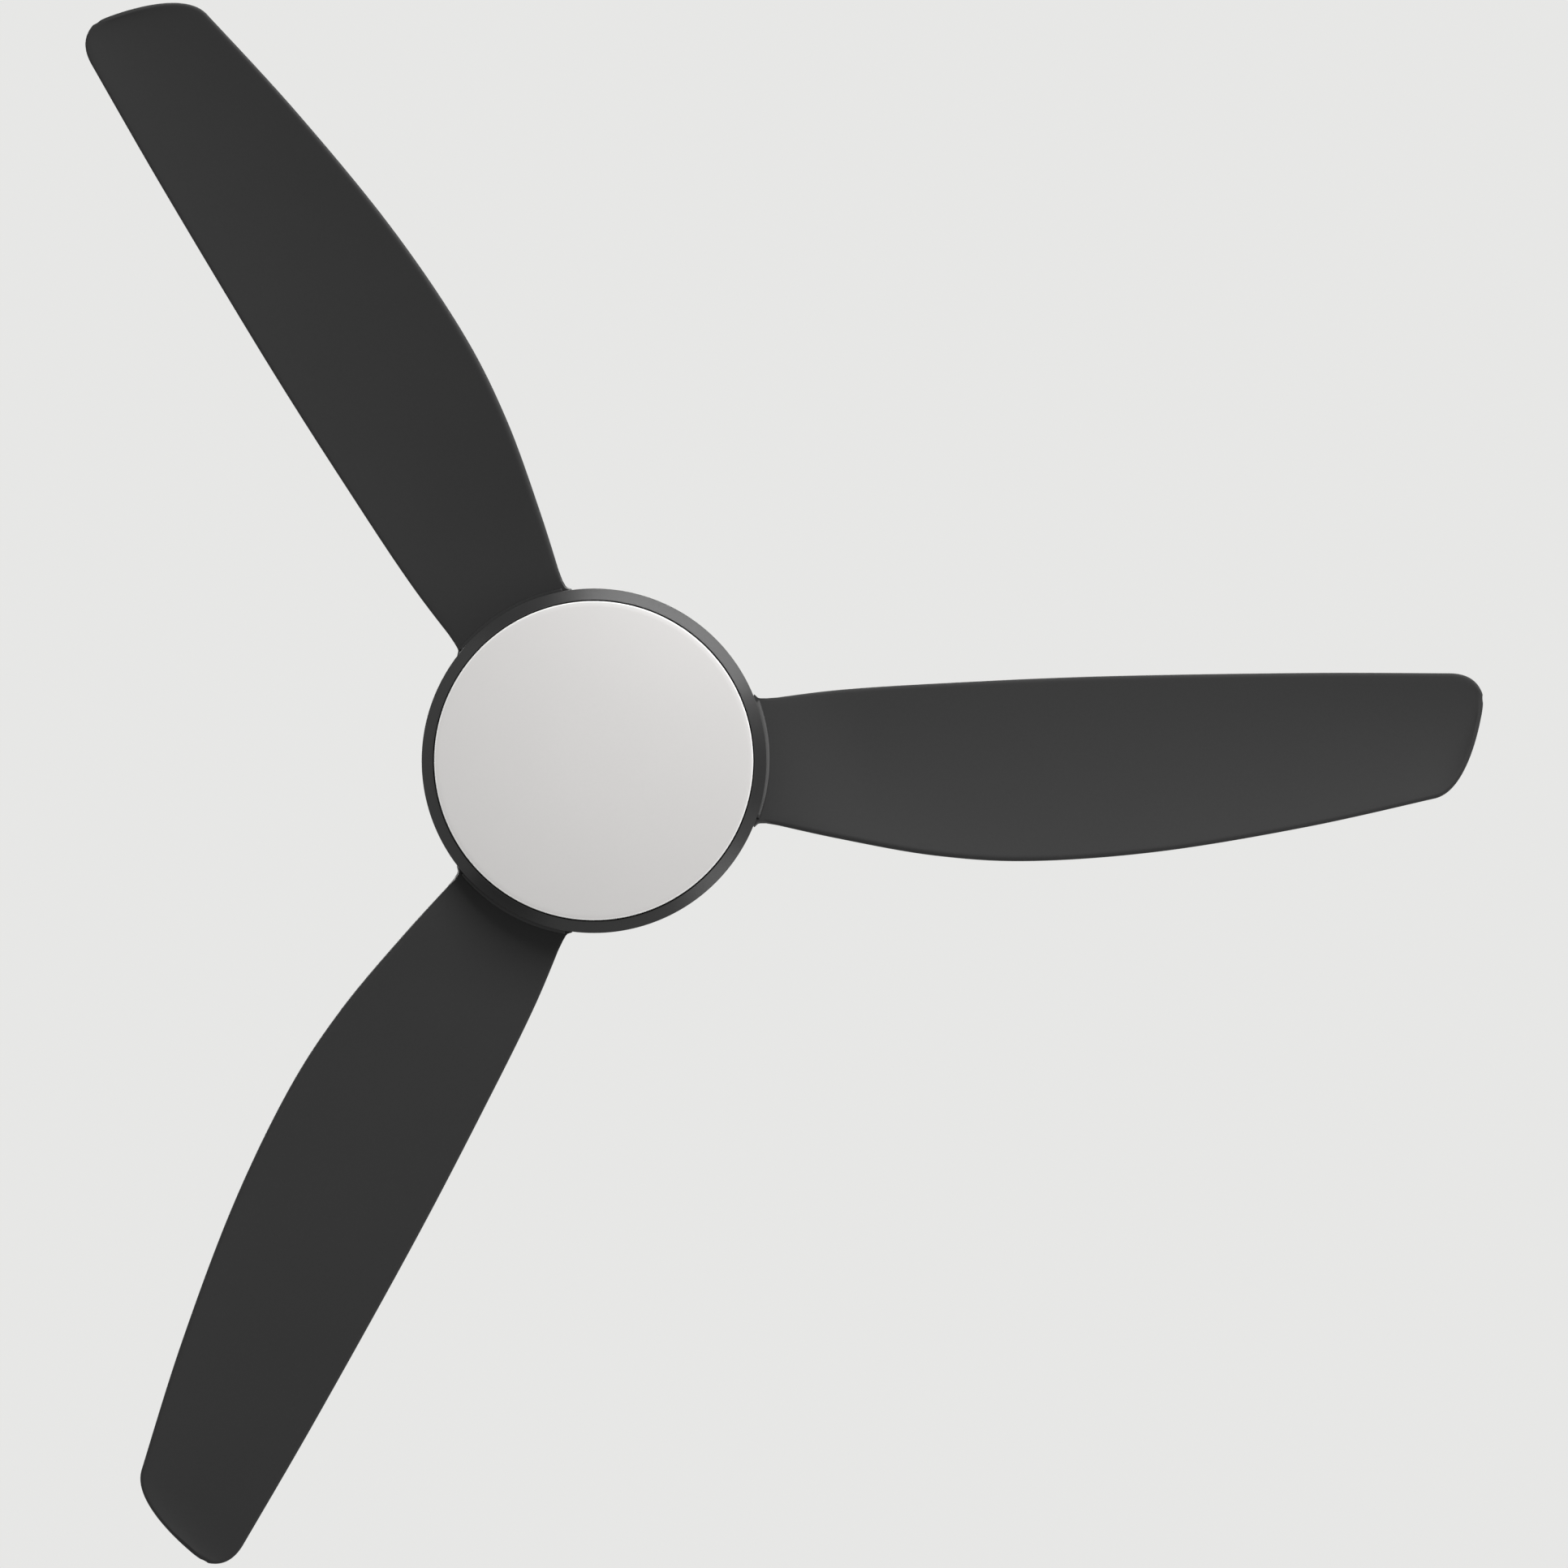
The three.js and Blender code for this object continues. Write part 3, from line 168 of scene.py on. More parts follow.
def addMix(tree, amount, a, b):
    node = addNode(tree, "ShaderNodeMix", data_type="RGBA")
    feed(tree, node.inputs[0], amount)
    feed(tree, node.inputs[6], a)
    feed(tree, node.inputs[7], b)
    return node.outputs[2]


def addRange(tree, value, low, high, toLow=0.0, toHigh=1.0):
    node = addNode(tree, "ShaderNodeMapRange")
    for place, number in zip((0, 1, 2, 3, 4), (value, low, high, toLow, toHigh)):
        feed(tree, node.inputs[place], number)
    return node.outputs[0]


def addNoise(tree, place, size, detail=2.0, rough=0.5):
    # size is the width of a blotch in metres
    node = addNode(tree, "ShaderNodeTexNoise")
    feed(tree, node.inputs["Vector"], place)
    scale = size if isinstance(size, bpy.types.NodeSocket) else 1 / size
    feed(tree, node.inputs["Scale"], scale)
    node.inputs["Detail"].default_value = detail
    node.inputs["Roughness"].default_value = rough
    return node.outputs["Fac"]


def objectPlace(tree):
    return addNode(tree, "ShaderNodeTexCoord").outputs["Object"]


def splitAxes(tree, source):
    node = addNode(tree, "ShaderNodeSeparateXYZ")
    feed(tree, node.inputs[0], source)
    return node.outputs


def addWave(tree, settings, **kind):
    node = addNode(tree, "ShaderNodeTexWave", **kind)
    feed(tree, node.inputs["Vector"], objectPlace(tree))
    for label, value in settings.items():
        node.inputs[label].default_value = value
    return node.outputs["Fac"]


def stretched(tree, place, x, y, z):
    node = addNode(tree, "ShaderNodeMapping")
    feed(tree, node.inputs["Vector"], place)
    node.inputs["Scale"].default_value = (x, y, z)
    return node.outputs[0]


def startGroup(name, inputs, outputs):
    tree = bpy.data.node_groups.new(name, "ShaderNodeTree")
    for label, kind, value in inputs:
        socket = tree.interface.new_socket(name=label, in_out="INPUT", socket_type=kind)
        socket.default_value = (*value, 1) if kind == "NodeSocketColor" else value
    for label, kind in outputs:
        tree.interface.new_socket(name=label, in_out="OUTPUT", socket_type=kind)
    return tree, addNode(tree, "NodeGroupInput").outputs, addNode(tree, "NodeGroupOutput").inputs


def useGroup(tree, group, **values):
    node = addNode(tree, "ShaderNodeGroup")
    node.node_tree = group
    for label, value in values.items():
        feed(tree, node.inputs[label.replace("_", " ")], value)
    return node.outputs


number = "NodeSocketFloat"
colour = "NodeSocketColor"


def makeMouldedSkin():
    # fine spark-eroded grain of a moulding, with slow changes of shade and gloss
    tree, given, out = startGroup("mouldedSkin", [
        ("Colour", colour, (0.5, 0.5, 0.5)), ("Shade Spread", number, 0.1), ("Grain Size", number, 0.0006),
        ("Roughness", number, 0.5), ("Gloss Spread", number, 0.1)],
        [("Colour", colour), ("Roughness", number), ("Height", number)])
    place = objectPlace(tree)
    grainScale = addMath(tree, "DIVIDE", 1.0, given["Grain Size"])
    grain = addNoise(tree, place, grainScale, 3, 0.6)
    clouds = addNoise(tree, place, 0.07, 3, 0.55)
    specks = addNoise(tree, place, times(tree, grainScale, 0.45), 1, 0.4)
    shade = addMath(tree, "ADD", times(tree, clouds, 0.6), times(tree, specks, 0.4))
    around = times(tree, addMath(tree, "SUBTRACT", shade, 0.5), given["Shade Spread"])
    gain = addMath(tree, "ADD", times(tree, around, 4.0), 1.0)
    scaled = addNode(tree, "ShaderNodeVectorMath", operation="SCALE")
    feed(tree, scaled.inputs[0], given["Colour"])
    feed(tree, scaled.inputs["Scale"], gain)
    feed(tree, out["Colour"], scaled.outputs[0])
    glossShift = times(tree, addMath(tree, "SUBTRACT", clouds, 0.5), given["Gloss Spread"])
    feed(tree, out["Roughness"], addMath(tree, "ADD", given["Roughness"], glossShift, True))
    feed(tree, out["Height"], grain)
    return tree


def makeSettledDust():
    # pale dust that lies on faces turned upwards
    tree, given, out = startGroup("settledDust", [
        ("Colour", colour, (0.5, 0.5, 0.5)), ("Roughness", number, 0.5), ("Dust", colour, (0.44, 0.43, 0.41)),
        ("Amount", number, 0.1)],
        [("Colour", colour), ("Roughness", number)])
    normal = addNode(tree, "ShaderNodeNewGeometry").outputs["Normal"]
    upward = addRange(tree, splitAxes(tree, normal)[2], 0.35, 1.0)
    patches = addRange(tree, addNoise(tree, objectPlace(tree), 0.035, 5, 0.65), 0.35, 0.7)
    fine = addRange(tree, addNoise(tree, objectPlace(tree), 0.0012, 2, 0.5), 0.3, 0.8, 0.4, 1.0)
    lying = times(tree, times(tree, upward, patches), fine)
    mask = times(tree, lying, given["Amount"], True)
    feed(tree, out["Colour"], addMix(tree, mask, given["Colour"], given["Dust"]))
    feed(tree, out["Roughness"], addMath(tree, "ADD", given["Roughness"],
                                         times(tree, mask, 0.6), True))
    return tree


def makeRubbedEdge():
    # corners that hands and screwdrivers have rubbed a little brighter
    tree, given, out = startGroup("rubbedEdge", [
        ("Colour", colour, (0.5, 0.5, 0.5)), ("Bare", colour, (0.7, 0.7, 0.7)), ("Amount", number, 0.3)],
        [("Colour", colour), ("Mask", number)])
    pointed = addNode(tree, "ShaderNodeNewGeometry").outputs["Pointiness"]
    corner = addRange(tree, pointed, 0.51, 0.60)
    broken = addRange(tree, addNoise(tree, objectPlace(tree), 0.004, 4, 0.7), 0.4, 0.65)
    mask = times(tree, times(tree, corner, broken), given["Amount"], True)
    feed(tree, out["Colour"], addMix(tree, mask, given["Colour"], given["Bare"]))
    feed(tree, out["Mask"], mask)
    return tree


def makeMetalSkin():
    # fine lines along one way, with soft stains
    tree, given, out = startGroup("metalSkin", [
        ("Colour", colour, (0.5, 0.5, 0.5)), ("Stain", colour, (0.4, 0.4, 0.4)),
        ("Place", "NodeSocketVector", (0, 0, 0)), ("Line Size", number, 0.0004),
        ("Roughness", number, 0.35), ("Gloss Spread", number, 0.2)],
        [("Colour", colour), ("Roughness", number), ("Height", number)])
    lines = addNoise(tree, given["Place"], addMath(tree, "DIVIDE", 1.0, given["Line Size"]), 2, 0.6)
    stains = addRange(tree, addNoise(tree, objectPlace(tree), 0.012, 4, 0.6), 0.35, 0.75)
    feed(tree, out["Colour"], addMix(tree, times(tree, stains, 0.6), given["Colour"], given["Stain"]))
    shift = times(tree, addMath(tree, "SUBTRACT", lines, 0.5), given["Gloss Spread"])
    feed(tree, out["Roughness"], addMath(tree, "ADD", given["Roughness"], shift, True))
    feed(tree, out["Height"], lines)
    return tree


mouldedSkin = makeMouldedSkin()
settledDust = makeSettledDust()
rubbedEdge = makeRubbedEdge()
metalSkin = makeMetalSkin()


def startMaterial(name, **fixed):
    material = bpy.data.materials.new(name)
    material.use_nodes = True
    tree = material.node_tree
    shader = tree.nodes["Principled BSDF"]
    for label, value in fixed.items():
        feed(tree, shader.inputs[label.replace("_", " ")], value)
    return material, tree, shader


def addBump(tree, shader, height, depth, strength=1.0):
    bump = addNode(tree, "ShaderNodeBump")
    feed(tree, bump.inputs["Height"], height)
    bump.inputs["Distance"].default_value = depth * mm
    bump.inputs["Strength"].default_value = strength
    feed(tree, shader.inputs["Normal"], bump.outputs[0])


def dress(tree, shader, shade, rough, height, depth):
    feed(tree, shader.inputs["Base Color"], shade)
    feed(tree, shader.inputs["Roughness"], rough)
    addBump(tree, shader, height, depth)


def mouldedPlastic(name, paint, grain, bumpDepth, rough, specular, shadeSpread=0.12, glossSpread=0.12,
                   dust=0.0, rub=0.0):
    material, tree, shader = startMaterial(name, Specular_IOR_Level=specular)
    skin = useGroup(tree, mouldedSkin, Colour=paint, Shade_Spread=shadeSpread, Grain_Size=grain * mm,
                    Roughness=rough, Gloss_Spread=glossSpread)
    shade = skin["Colour"]
    roughness = skin["Roughness"]
    if rub:
        paler = tuple(min(1, value * 2.2 + 0.03) for value in paint)
        shade = useGroup(tree, rubbedEdge, Colour=shade, Bare=paler, Amount=rub)["Colour"]
    if dust:
        lying = useGroup(tree, settledDust, Colour=shade, Roughness=roughness, Amount=dust)
        shade = lying["Colour"]
        roughness = lying["Roughness"]
    dress(tree, shader, shade, roughness, skin["Height"], bumpDepth)
    return material


def workedMetal(name, paint, stain, lineSize, stretch, bumpDepth, rough, glossSpread, rub=0.3):
    material, tree, shader = startMaterial(name, Metallic=1.0)
    place = stretched(tree, objectPlace(tree), *stretch)
    skin = useGroup(tree, metalSkin, Colour=paint, Stain=stain, Place=place, Line_Size=lineSize * mm,
                    Roughness=rough, Gloss_Spread=glossSpread)
    paler = tuple(min(1, value * 1.35) for value in paint)
    worn = useGroup(tree, rubbedEdge, Colour=skin["Colour"], Bare=paler, Amount=rub)
    dress(tree, shader, worn["Colour"], skin["Roughness"], skin["Height"], bumpDepth)
    return material


def opalPlastic():
    # opal cover: milky, a little darker towards the rim, with a painted highlight on the thin rim bead
    material, tree, shader = startMaterial("opalPlastic", Specular_IOR_Level=0.3, IOR=1.49)
    x, y, z = splitAxes(tree, objectPlace(tree))
    squares = addMath(tree, "ADD", addMath(tree, "POWER", x, 2.0), addMath(tree, "POWER", y, 2.0))
    radius = addMath(tree, "SQRT", squares)
    # painted highlight: a thin ring at the rim bead, picked by radius and level, is painted near white for the
    # light its edge catches
    bead = addRange(tree, radius, 0.1059, 0.1062)
    edge = times(tree, bead, addRange(tree, z, -0.2642, -0.2650))
    inward = addRange(tree, radius, 0.02, 0.105)
    skin = useGroup(tree, mouldedSkin, Colour=(0.764, 0.753, 0.747), Shade_Spread=0.016, Grain_Size=0.0008,
                    Roughness=0.46, Gloss_Spread=0.08)
    # a little darker towards the rim
    milky = addMix(tree, times(tree, inward, 0.5), skin["Colour"], (0.728, 0.718, 0.712))
    # near-white colour of the painted highlight on the rim bead
    shade = addMix(tree, edge, milky, (0.95, 0.95, 0.94))
    dress(tree, shader, shade, skin["Roughness"], skin["Height"], 0.006)
    return material


def powderPaint(name, paint, rough, bumpDepth, specular=0.4, dust=0.0):
    return mouldedPlastic(name, paint, 1.3, bumpDepth, rough, specular, shadeSpread=0.08, glossSpread=0.1,
                          dust=dust, rub=0.25)


def castSkin():
    material, tree, shader = startMaterial("castAluminium", Metallic=1.0)
    place = objectPlace(tree)
    flow = addNoise(tree, place, 0.018, 5, 0.6)
    grit = addNoise(tree, place, 0.0007, 2, 0.6)
    shade = addMix(tree, addRange(tree, flow, 0.35, 0.7), (0.60, 0.61, 0.62), (0.46, 0.47, 0.48))
    worn = useGroup(tree, rubbedEdge, Colour=shade, Bare=(0.75, 0.75, 0.76), Amount=0.5)
    dress(tree, shader, worn["Colour"], addRange(tree, grit, 0.2, 0.8, 0.38, 0.62), grit, 0.05)
    return material


def laminatedSteel():
    # stack of thin sheets, seen as lines all round
    material, tree, shader = startMaterial("laminatedSteel", Metallic=0.8)
    wave = addWave(tree, {"Scale": 620, "Distortion": 0.4}, wave_type="BANDS", bands_direction="Z")
    shade = addMix(tree, wave, (0.05, 0.05, 0.055), (0.19, 0.19, 0.20))
    rust = addRange(tree, addNoise(tree, objectPlace(tree), 0.006, 4, 0.6), 0.62, 0.8)
    rusty = addMix(tree, rust, shade, (0.12, 0.07, 0.045))
    dress(tree, shader, rusty, addRange(tree, wave, 0, 1, 0.6, 0.4), wave, 0.08)
    return material


def woundCopper():
    # enamelled wire laid turn beside turn, with painted shade in the grooves between the turns
    material, tree, shader = startMaterial("woundCopper", Metallic=0.85, Coat_Roughness=0.15)
    turnsOfWire = {"Scale": 380, "Distortion": 1.2, "Detail": 1}
    wave = addWave(tree, turnsOfWire, wave_type="BANDS", bands_direction="Z")
    patches = addNoise(tree, objectPlace(tree), 0.01, 3, 0.5)
    warm = addMix(tree, patches, (0.62, 0.25, 0.10), (0.46, 0.16, 0.06))
    # painted shade: the dark colour of the bands stands for shade in the grooves between turns
    shade = addMix(tree, wave, (0.16, 0.05, 0.02), warm)
    dress(tree, shader, shade, addRange(tree, patches, 0.3, 0.7, 0.25, 0.42), wave, 0.25)
    return material


def sinteredFerrite():
    material, tree, shader = startMaterial("sinteredFerrite", Metallic=0.3)
    place = objectPlace(tree)
    grit = addNoise(tree, place, 0.0005, 3, 0.7)
    chips = addRange(tree, addNoise(tree, place, 0.003, 4, 0.7), 0.6, 0.7)
    shade = addMix(tree, grit, (0.018, 0.018, 0.020), (0.045, 0.045, 0.048))
    chipped = addMix(tree, chips, shade, (0.08, 0.08, 0.085))
    height = addMath(tree, "ADD", grit, chips)
    dress(tree, shader, chipped, addRange(tree, grit, 0.2, 0.8, 0.45, 0.75), height, 0.06)
    return material


def lightBoard():
    # white solder mask over copper tracks in rings, with yellow emitters on the low side
    material, tree, shader = startMaterial("lightBoard", Specular_IOR_Level=0.5)
    place = objectPlace(tree)
    emitter = addRange(tree, splitAxes(tree, place)[2], -0.2531, -0.2529, 1.0, 0.0)
    track = addRange(tree, addWave(tree, {"Scale": 22}, wave_type="RINGS", rings_direction="Z"), 0.8, 0.86)
    board = addMix(tree, times(tree, track, 0.35), (0.80, 0.79, 0.75), (0.62, 0.60, 0.54))
    grit = addNoise(tree, place, 0.001, 2, 0.5)
    shade = addMix(tree, emitter, board, (0.78, 0.58, 0.12))
    height = addMath(tree, "ADD", track, times(tree, grit, 0.2))
    dress(tree, shader, shade, addRange(tree, grit, 0, 1, 0.3, 0.45), height, 0.03)
    return material


charcoal = (0.0350, 0.0351, 0.0354)
finishes = {
    "blade_plastic": mouldedPlastic("bladePlastic", charcoal, 0.9, 0.010, 0.60, 0.13, shadeSpread=0.05,
                                    glossSpread=0.10, dust=0.03, rub=0.18),
    "housing_plastic": mouldedPlastic("housingPlastic", (0.0235, 0.0235, 0.0238), 0.7, 0.005, 0.34, 0.28,
                                      shadeSpread=0.05, glossSpread=0.08, dust=0.05, rub=0.15),
    "painted_steel": powderPaint("paintedSteel", (0.0245, 0.0245, 0.0248), 0.40, 0.020, 0.38, 0.05),
    "opal_plastic": opalPlastic(),
    "zinc_steel": workedMetal("zincSteel", (0.56, 0.57, 0.58), (0.42, 0.43, 0.43), 0.35, (1, 0.06, 1),
                              0.012, 0.36, 0.25),
    "machine_steel": workedMetal("machineSteel", (0.50, 0.50, 0.50), (0.36, 0.35, 0.34), 0.25,
                                 (0.12, 0.12, 1), 0.010, 0.28, 0.25),
    "cast_aluminium": castSkin(),
    "lamination": laminatedSteel(),
    "copper_wire": woundCopper(),
    "ferrite": sinteredFerrite(),
    "nylon": mouldedPlastic("nylon", (0.66, 0.63, 0.55), 0.9, 0.02, 0.48, 0.5, rub=0.1),
    "black_case": mouldedPlastic("blackCase", (0.018, 0.018, 0.020), 0.6, 0.03, 0.5, 0.45, dust=0.05,
                                 rub=0.3),
    "white_metal": mouldedPlastic("whiteMetal", (0.76, 0.76, 0.74), 1.2, 0.02, 0.42, 0.45, shadeSpread=0.03),
    "circuit_board": lightBoard(),
    "cable_sheath": mouldedPlastic("cableSheath", (0.022, 0.022, 0.024), 0.5, 0.03, 0.6, 0.4),
}
slotOf = {part["node"]: part["material_slot"] for part in frame["record"]["subparts"]}
for name, piece in frame["nodes"].items():
    piece.data.materials.clear()
    piece.data.materials.append(finishes[slotOf[name]])
print("finishes made:", len(finishes))


# helpers for modelling

def clearSelection():
    if bpy.context.mode != "OBJECT":
        bpy.ops.object.mode_set(mode="OBJECT")
    bpy.ops.object.select_all(action="DESELECT")


def choose(piece):
    clearSelection()
    piece.select_set(True)
    bpy.context.view_layer.objects.active = piece


def setMode(mode):
    bpy.ops.object.mode_set(mode=mode)


def selectAll():
    bpy.ops.mesh.select_all(action="SELECT")


def applyPlace():
    bpy.ops.object.transform_apply(location=True, rotation=True, scale=True)


def band(inner, outer, low, high):
    return [(inner, low), (outer, low), (outer, high), (inner, high)]


def pull(start, firstPull, secondPull, end, steps):
    # points of a cubic curve between two [radius, level] pairs
    points = []
    for i in range(steps + 1):
        t = i / steps
        weights = ((1 - t) ** 3, 3 * t * (1 - t) ** 2, 3 * t * t * (1 - t), t ** 3)
        ends = (start, firstPull, secondPull, end)
        points.append(tuple(sum(w * p[k] for w, p in zip(weights, ends)) for k in (0, 1)))
    return points


def softened(points, radius, steps=3, sharper=25):
    # closed outline with its sharp corners rounded
    result = []
    count = len(points)
    for i, here in enumerate(points):
        before, after = points[i - 1], points[(i + 1) % count]
        back = (before[0] - here[0], before[1] - here[1])
        on = (after[0] - here[0], after[1] - here[1])
        backLength, onLength = math.hypot(*back), math.hypot(*on)
        cosine = (back[0] * on[0] + back[1] * on[1]) / max(backLength * onLength, 1e-9)
        turn = 180 - math.degrees(math.acos(max(-1, min(1, cosine))))
        if turn < sharper or here[0] < 0.01:
            result.append(here)
            continue
        half = math.radians(turn) / 2
        reach = min(radius * math.tan(half), 0.45 * backLength, 0.45 * onLength)
        first = (here[0] + back[0] / backLength * reach, here[1] + back[1] / backLength * reach)
        last = (here[0] + on[0] / onLength * reach, here[1] + on[1] / onLength * reach)
        for k in range(steps + 1):
            t = k / steps
            result.append(tuple((1 - t) ** 2 * first[j] + 2 * t * (1 - t) * here[j] + t * t * last[j]
                                for j in (0, 1)))
    return result


def startPoint(name, x, y, z):
    # a plane shrunk to one vertex, from which a line is drawn
    clearSelection()
    bpy.ops.mesh.primitive_plane_add(size=1 * mm, location=(0, 0, 0))
    piece = bpy.context.active_object
    piece.name = name
    piece.data.name = name
    setMode("EDIT")
    selectAll()
    bpy.ops.mesh.merge(type="CENTER")
    bpy.ops.transform.translate(value=(x * mm, y * mm, z * mm))
    return piece


def drawTo(dx, dy, dz):
    bpy.ops.mesh.extrude_region_move(TRANSFORM_OT_translate={"value": (dx * mm, dy * mm, dz * mm)})


def closeUp(doubles=0.01):
    selectAll()
    bpy.ops.mesh.remove_doubles(threshold=doubles * mm)
    bpy.ops.mesh.normals_make_consistent(inside=False)


def turnPiece(name, outline, steps=128, closed=True):
    # outline is a list of (radius, level); it is drawn as a line and spun round the fan axis
    points = [(max(radius, 0.002), level) for radius, level in outline]
    if closed:
        points.append(points[0])
    piece = startPoint(name, points[0][0], 0, points[0][1])
    for (r0, z0), (r1, z1) in zip(points, points[1:]):
        drawTo(r1 - r0, 0, z1 - z0)
    selectAll()
    bpy.ops.mesh.spin(steps=steps, angle=2 * math.pi, center=(0, 0, 0), axis=(0, 0, 1))
    closeUp()
    setMode("OBJECT")
    return piece


def smooth(piece, degrees=32):
    choose(piece)
    bpy.ops.object.shade_smooth_by_angle(angle=math.radians(degrees))


def applyAll(piece):
    choose(piece)
    for modifier in list(piece.modifiers):
        bpy.ops.object.modifier_apply(modifier=modifier.name)


def bevelEdges(piece, width, segments=3, degrees=30):
    bevel = piece.modifiers.new("bevel", "BEVEL")
    bevel.width = width * mm
    bevel.segments = segments
    bevel.limit_method = "ANGLE"
    bevel.angle_limit = math.radians(degrees)
    applyAll(piece)


def combine(piece, tools, operation):
    for tool in tools:
        boolean = piece.modifiers.new("combine", "BOOLEAN")
        boolean.operation = operation
        boolean.solver = "EXACT"
        boolean.object = tool
    applyAll(piece)
    for tool in tools:
        bpy.data.objects.remove(tool)


def cutAway(piece, tools):
    combine(piece, tools, "DIFFERENCE")


def united(piece, others):
    combine(piece, others, "UNION")


def copied(piece, name):
    twin = piece.copy()
    twin.data = piece.data.copy()
    twin.name = name
    twin.data.name = name
    bpy.context.scene.collection.objects.link(twin)
    return twin


def turnMesh(piece, degrees, axis="Z", centre=(0, 0, 0)):
    # with no window the operator turns the other way, so the angle is given as its opposite
    choose(piece)
    setMode("EDIT")
    selectAll()
    bpy.ops.transform.rotate(value=-math.radians(degrees), orient_axis=axis,
                             center_override=[value * mm for value in centre])
    setMode("OBJECT")


def moveMesh(piece, x, y, z):
    choose(piece)
    bpy.ops.transform.translate(value=(x * mm, y * mm, z * mm))
    applyPlace()


def selectWhere(piece, test):
    # picks the vertices of the mesh in edit mode whose place passes the test, in millimetres
    mesh = bmesh.from_edit_mesh(piece.data)
    bpy.ops.mesh.select_all(action="DESELECT")
    for vertex in mesh.verts:
        vertex.select = test(vertex.co.x / mm, vertex.co.y / mm, vertex.co.z / mm)
    mesh.select_flush(True)
    bmesh.update_edit_mesh(piece.data)


def finishPiece(piece, body, slot, nodes, degrees=32):
    smooth(piece, degrees)
    piece.data.materials.clear()
    piece.data.materials.append(finishes[slot])
    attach(piece, body)
    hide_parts(*nodes)


bpy.context.scene.view_settings.view_transform = "Standard"
makeCamera()
for lampName, lampValues in lamps.items():
    makeLamp(lampName, lampValues)
makeWorld()
makeFloor()
print("camera, lamps and floor set")


blade = {
    "hubRadius": 115.6, "tipReach": 597.8, "tipApex": 42, "rootHalf": 41.5,
    "leading": [(0, 41.5), (0.1, 47.7), (0.235, 52), (0.46, 56.8), (0.75, 59.2), (0.955, 59)],
    "leadingTip": [(8, 58.7), (1, 52)],
    "trailing": [(0, -41.5), (0.1, -52), (0.235, -63.5), (0.37, -67.2), (0.55, -60.7),
                 (0.754, -44.3), (0.934, -25)],
    "trailingTip": [(12, -19.5), (3, 18)],
    "level": -221.8, "rootPitch": 12, "tipPitch": 9,
    "rootThickness": 6, "tipThickness": 4, "camber": 4,
    "tongueStart": 86, "tongueHalf": 30, "tongueWidens": 97, "tongueFull": 106,
    "filletStart": 107.2, "fillet": 2.6,           # small roundings where the edges meet the hub
    "rimShare": 0.22, "rimWidth": 2.4,             # the edge thins to this share over this width
    "rootRows": (90, 94, 97, 99, 101, 103, 106, 106.6, 107.3, 107.7, 108.3, 109, 110, 111.5),
    "rimSteps": (0, 0.15, 0.45, 0.9, 1.6, 2.6), "acrossSteps": 18, "alongSteps": 60, "tipSteps": 24,
}


def throughPoints(points, steps):
    # smooth line through [along, across] points
    line = []
    last = len(points) - 1
    for i in range(last):
        p = [points[max(i - 1, 0)], points[i], points[i + 1], points[min(i + 2, last)]]
        for k in range(steps):
            t = k / steps
            spot = []
            for j in (0, 1):
                start, end = (p[2][j] - p[0][j]) / 2, (p[3][j] - p[1][j]) / 2
                spot.append((2 * p[1][j] - 2 * p[2][j] + start + end) * t ** 3
                            + (-3 * p[1][j] + 3 * p[2][j] - 2 * start - end) * t ** 2 + start * t + p[1][j])
            line.append(tuple(spot))
    line.append(points[last])
    return line


def bladeLine(widths, tip):
    length = blade["tipReach"] - blade["hubRadius"]
    points = [(blade["hubRadius"] + share * length, width) for share, width in widths]
    first, second = [(blade["tipReach"] - back, across) for back, across in tip]
    end = (blade["tipReach"], blade["tipApex"])
    return throughPoints(points, 16) + pull(points[-1], first, second, end, 60)


leadingLine = bladeLine(blade["leading"], blade["leadingTip"])
trailingLine = bladeLine(blade["trailing"], blade["trailingTip"])


def widthAt(line, reach):
    for (u0, v0), (u1, v1) in zip(line, line[1:]):
        if u0 <= reach <= u1 and u1 > u0:
            return v0 + (v1 - v0) * (reach - u0) / (u1 - u0)
    return line[0][1] if reach < line[0][0] else line[-1][1]


def easeIn(low, high, value):
    t = max(0, min(1, (value - low) / (high - low)))
    return t * t * (3 - 2 * t)


def bladeEdges(reach):
    # across places of the leading and trailing edge
    if reach <= blade["hubRadius"]:
        widened = easeIn(blade["tongueWidens"], blade["tongueFull"], reach)
        half = blade["tongueHalf"] + (blade["rootHalf"] - blade["tongueHalf"]) * widened
        if reach > blade["filletStart"]:
            half += blade["fillet"] * (1 - easeIn(0, 1, (reach - blade["filletStart"]) / 4.4)) ** 1.6
        return half, -half
    return widthAt(leadingLine, reach), widthAt(trailingLine, reach)


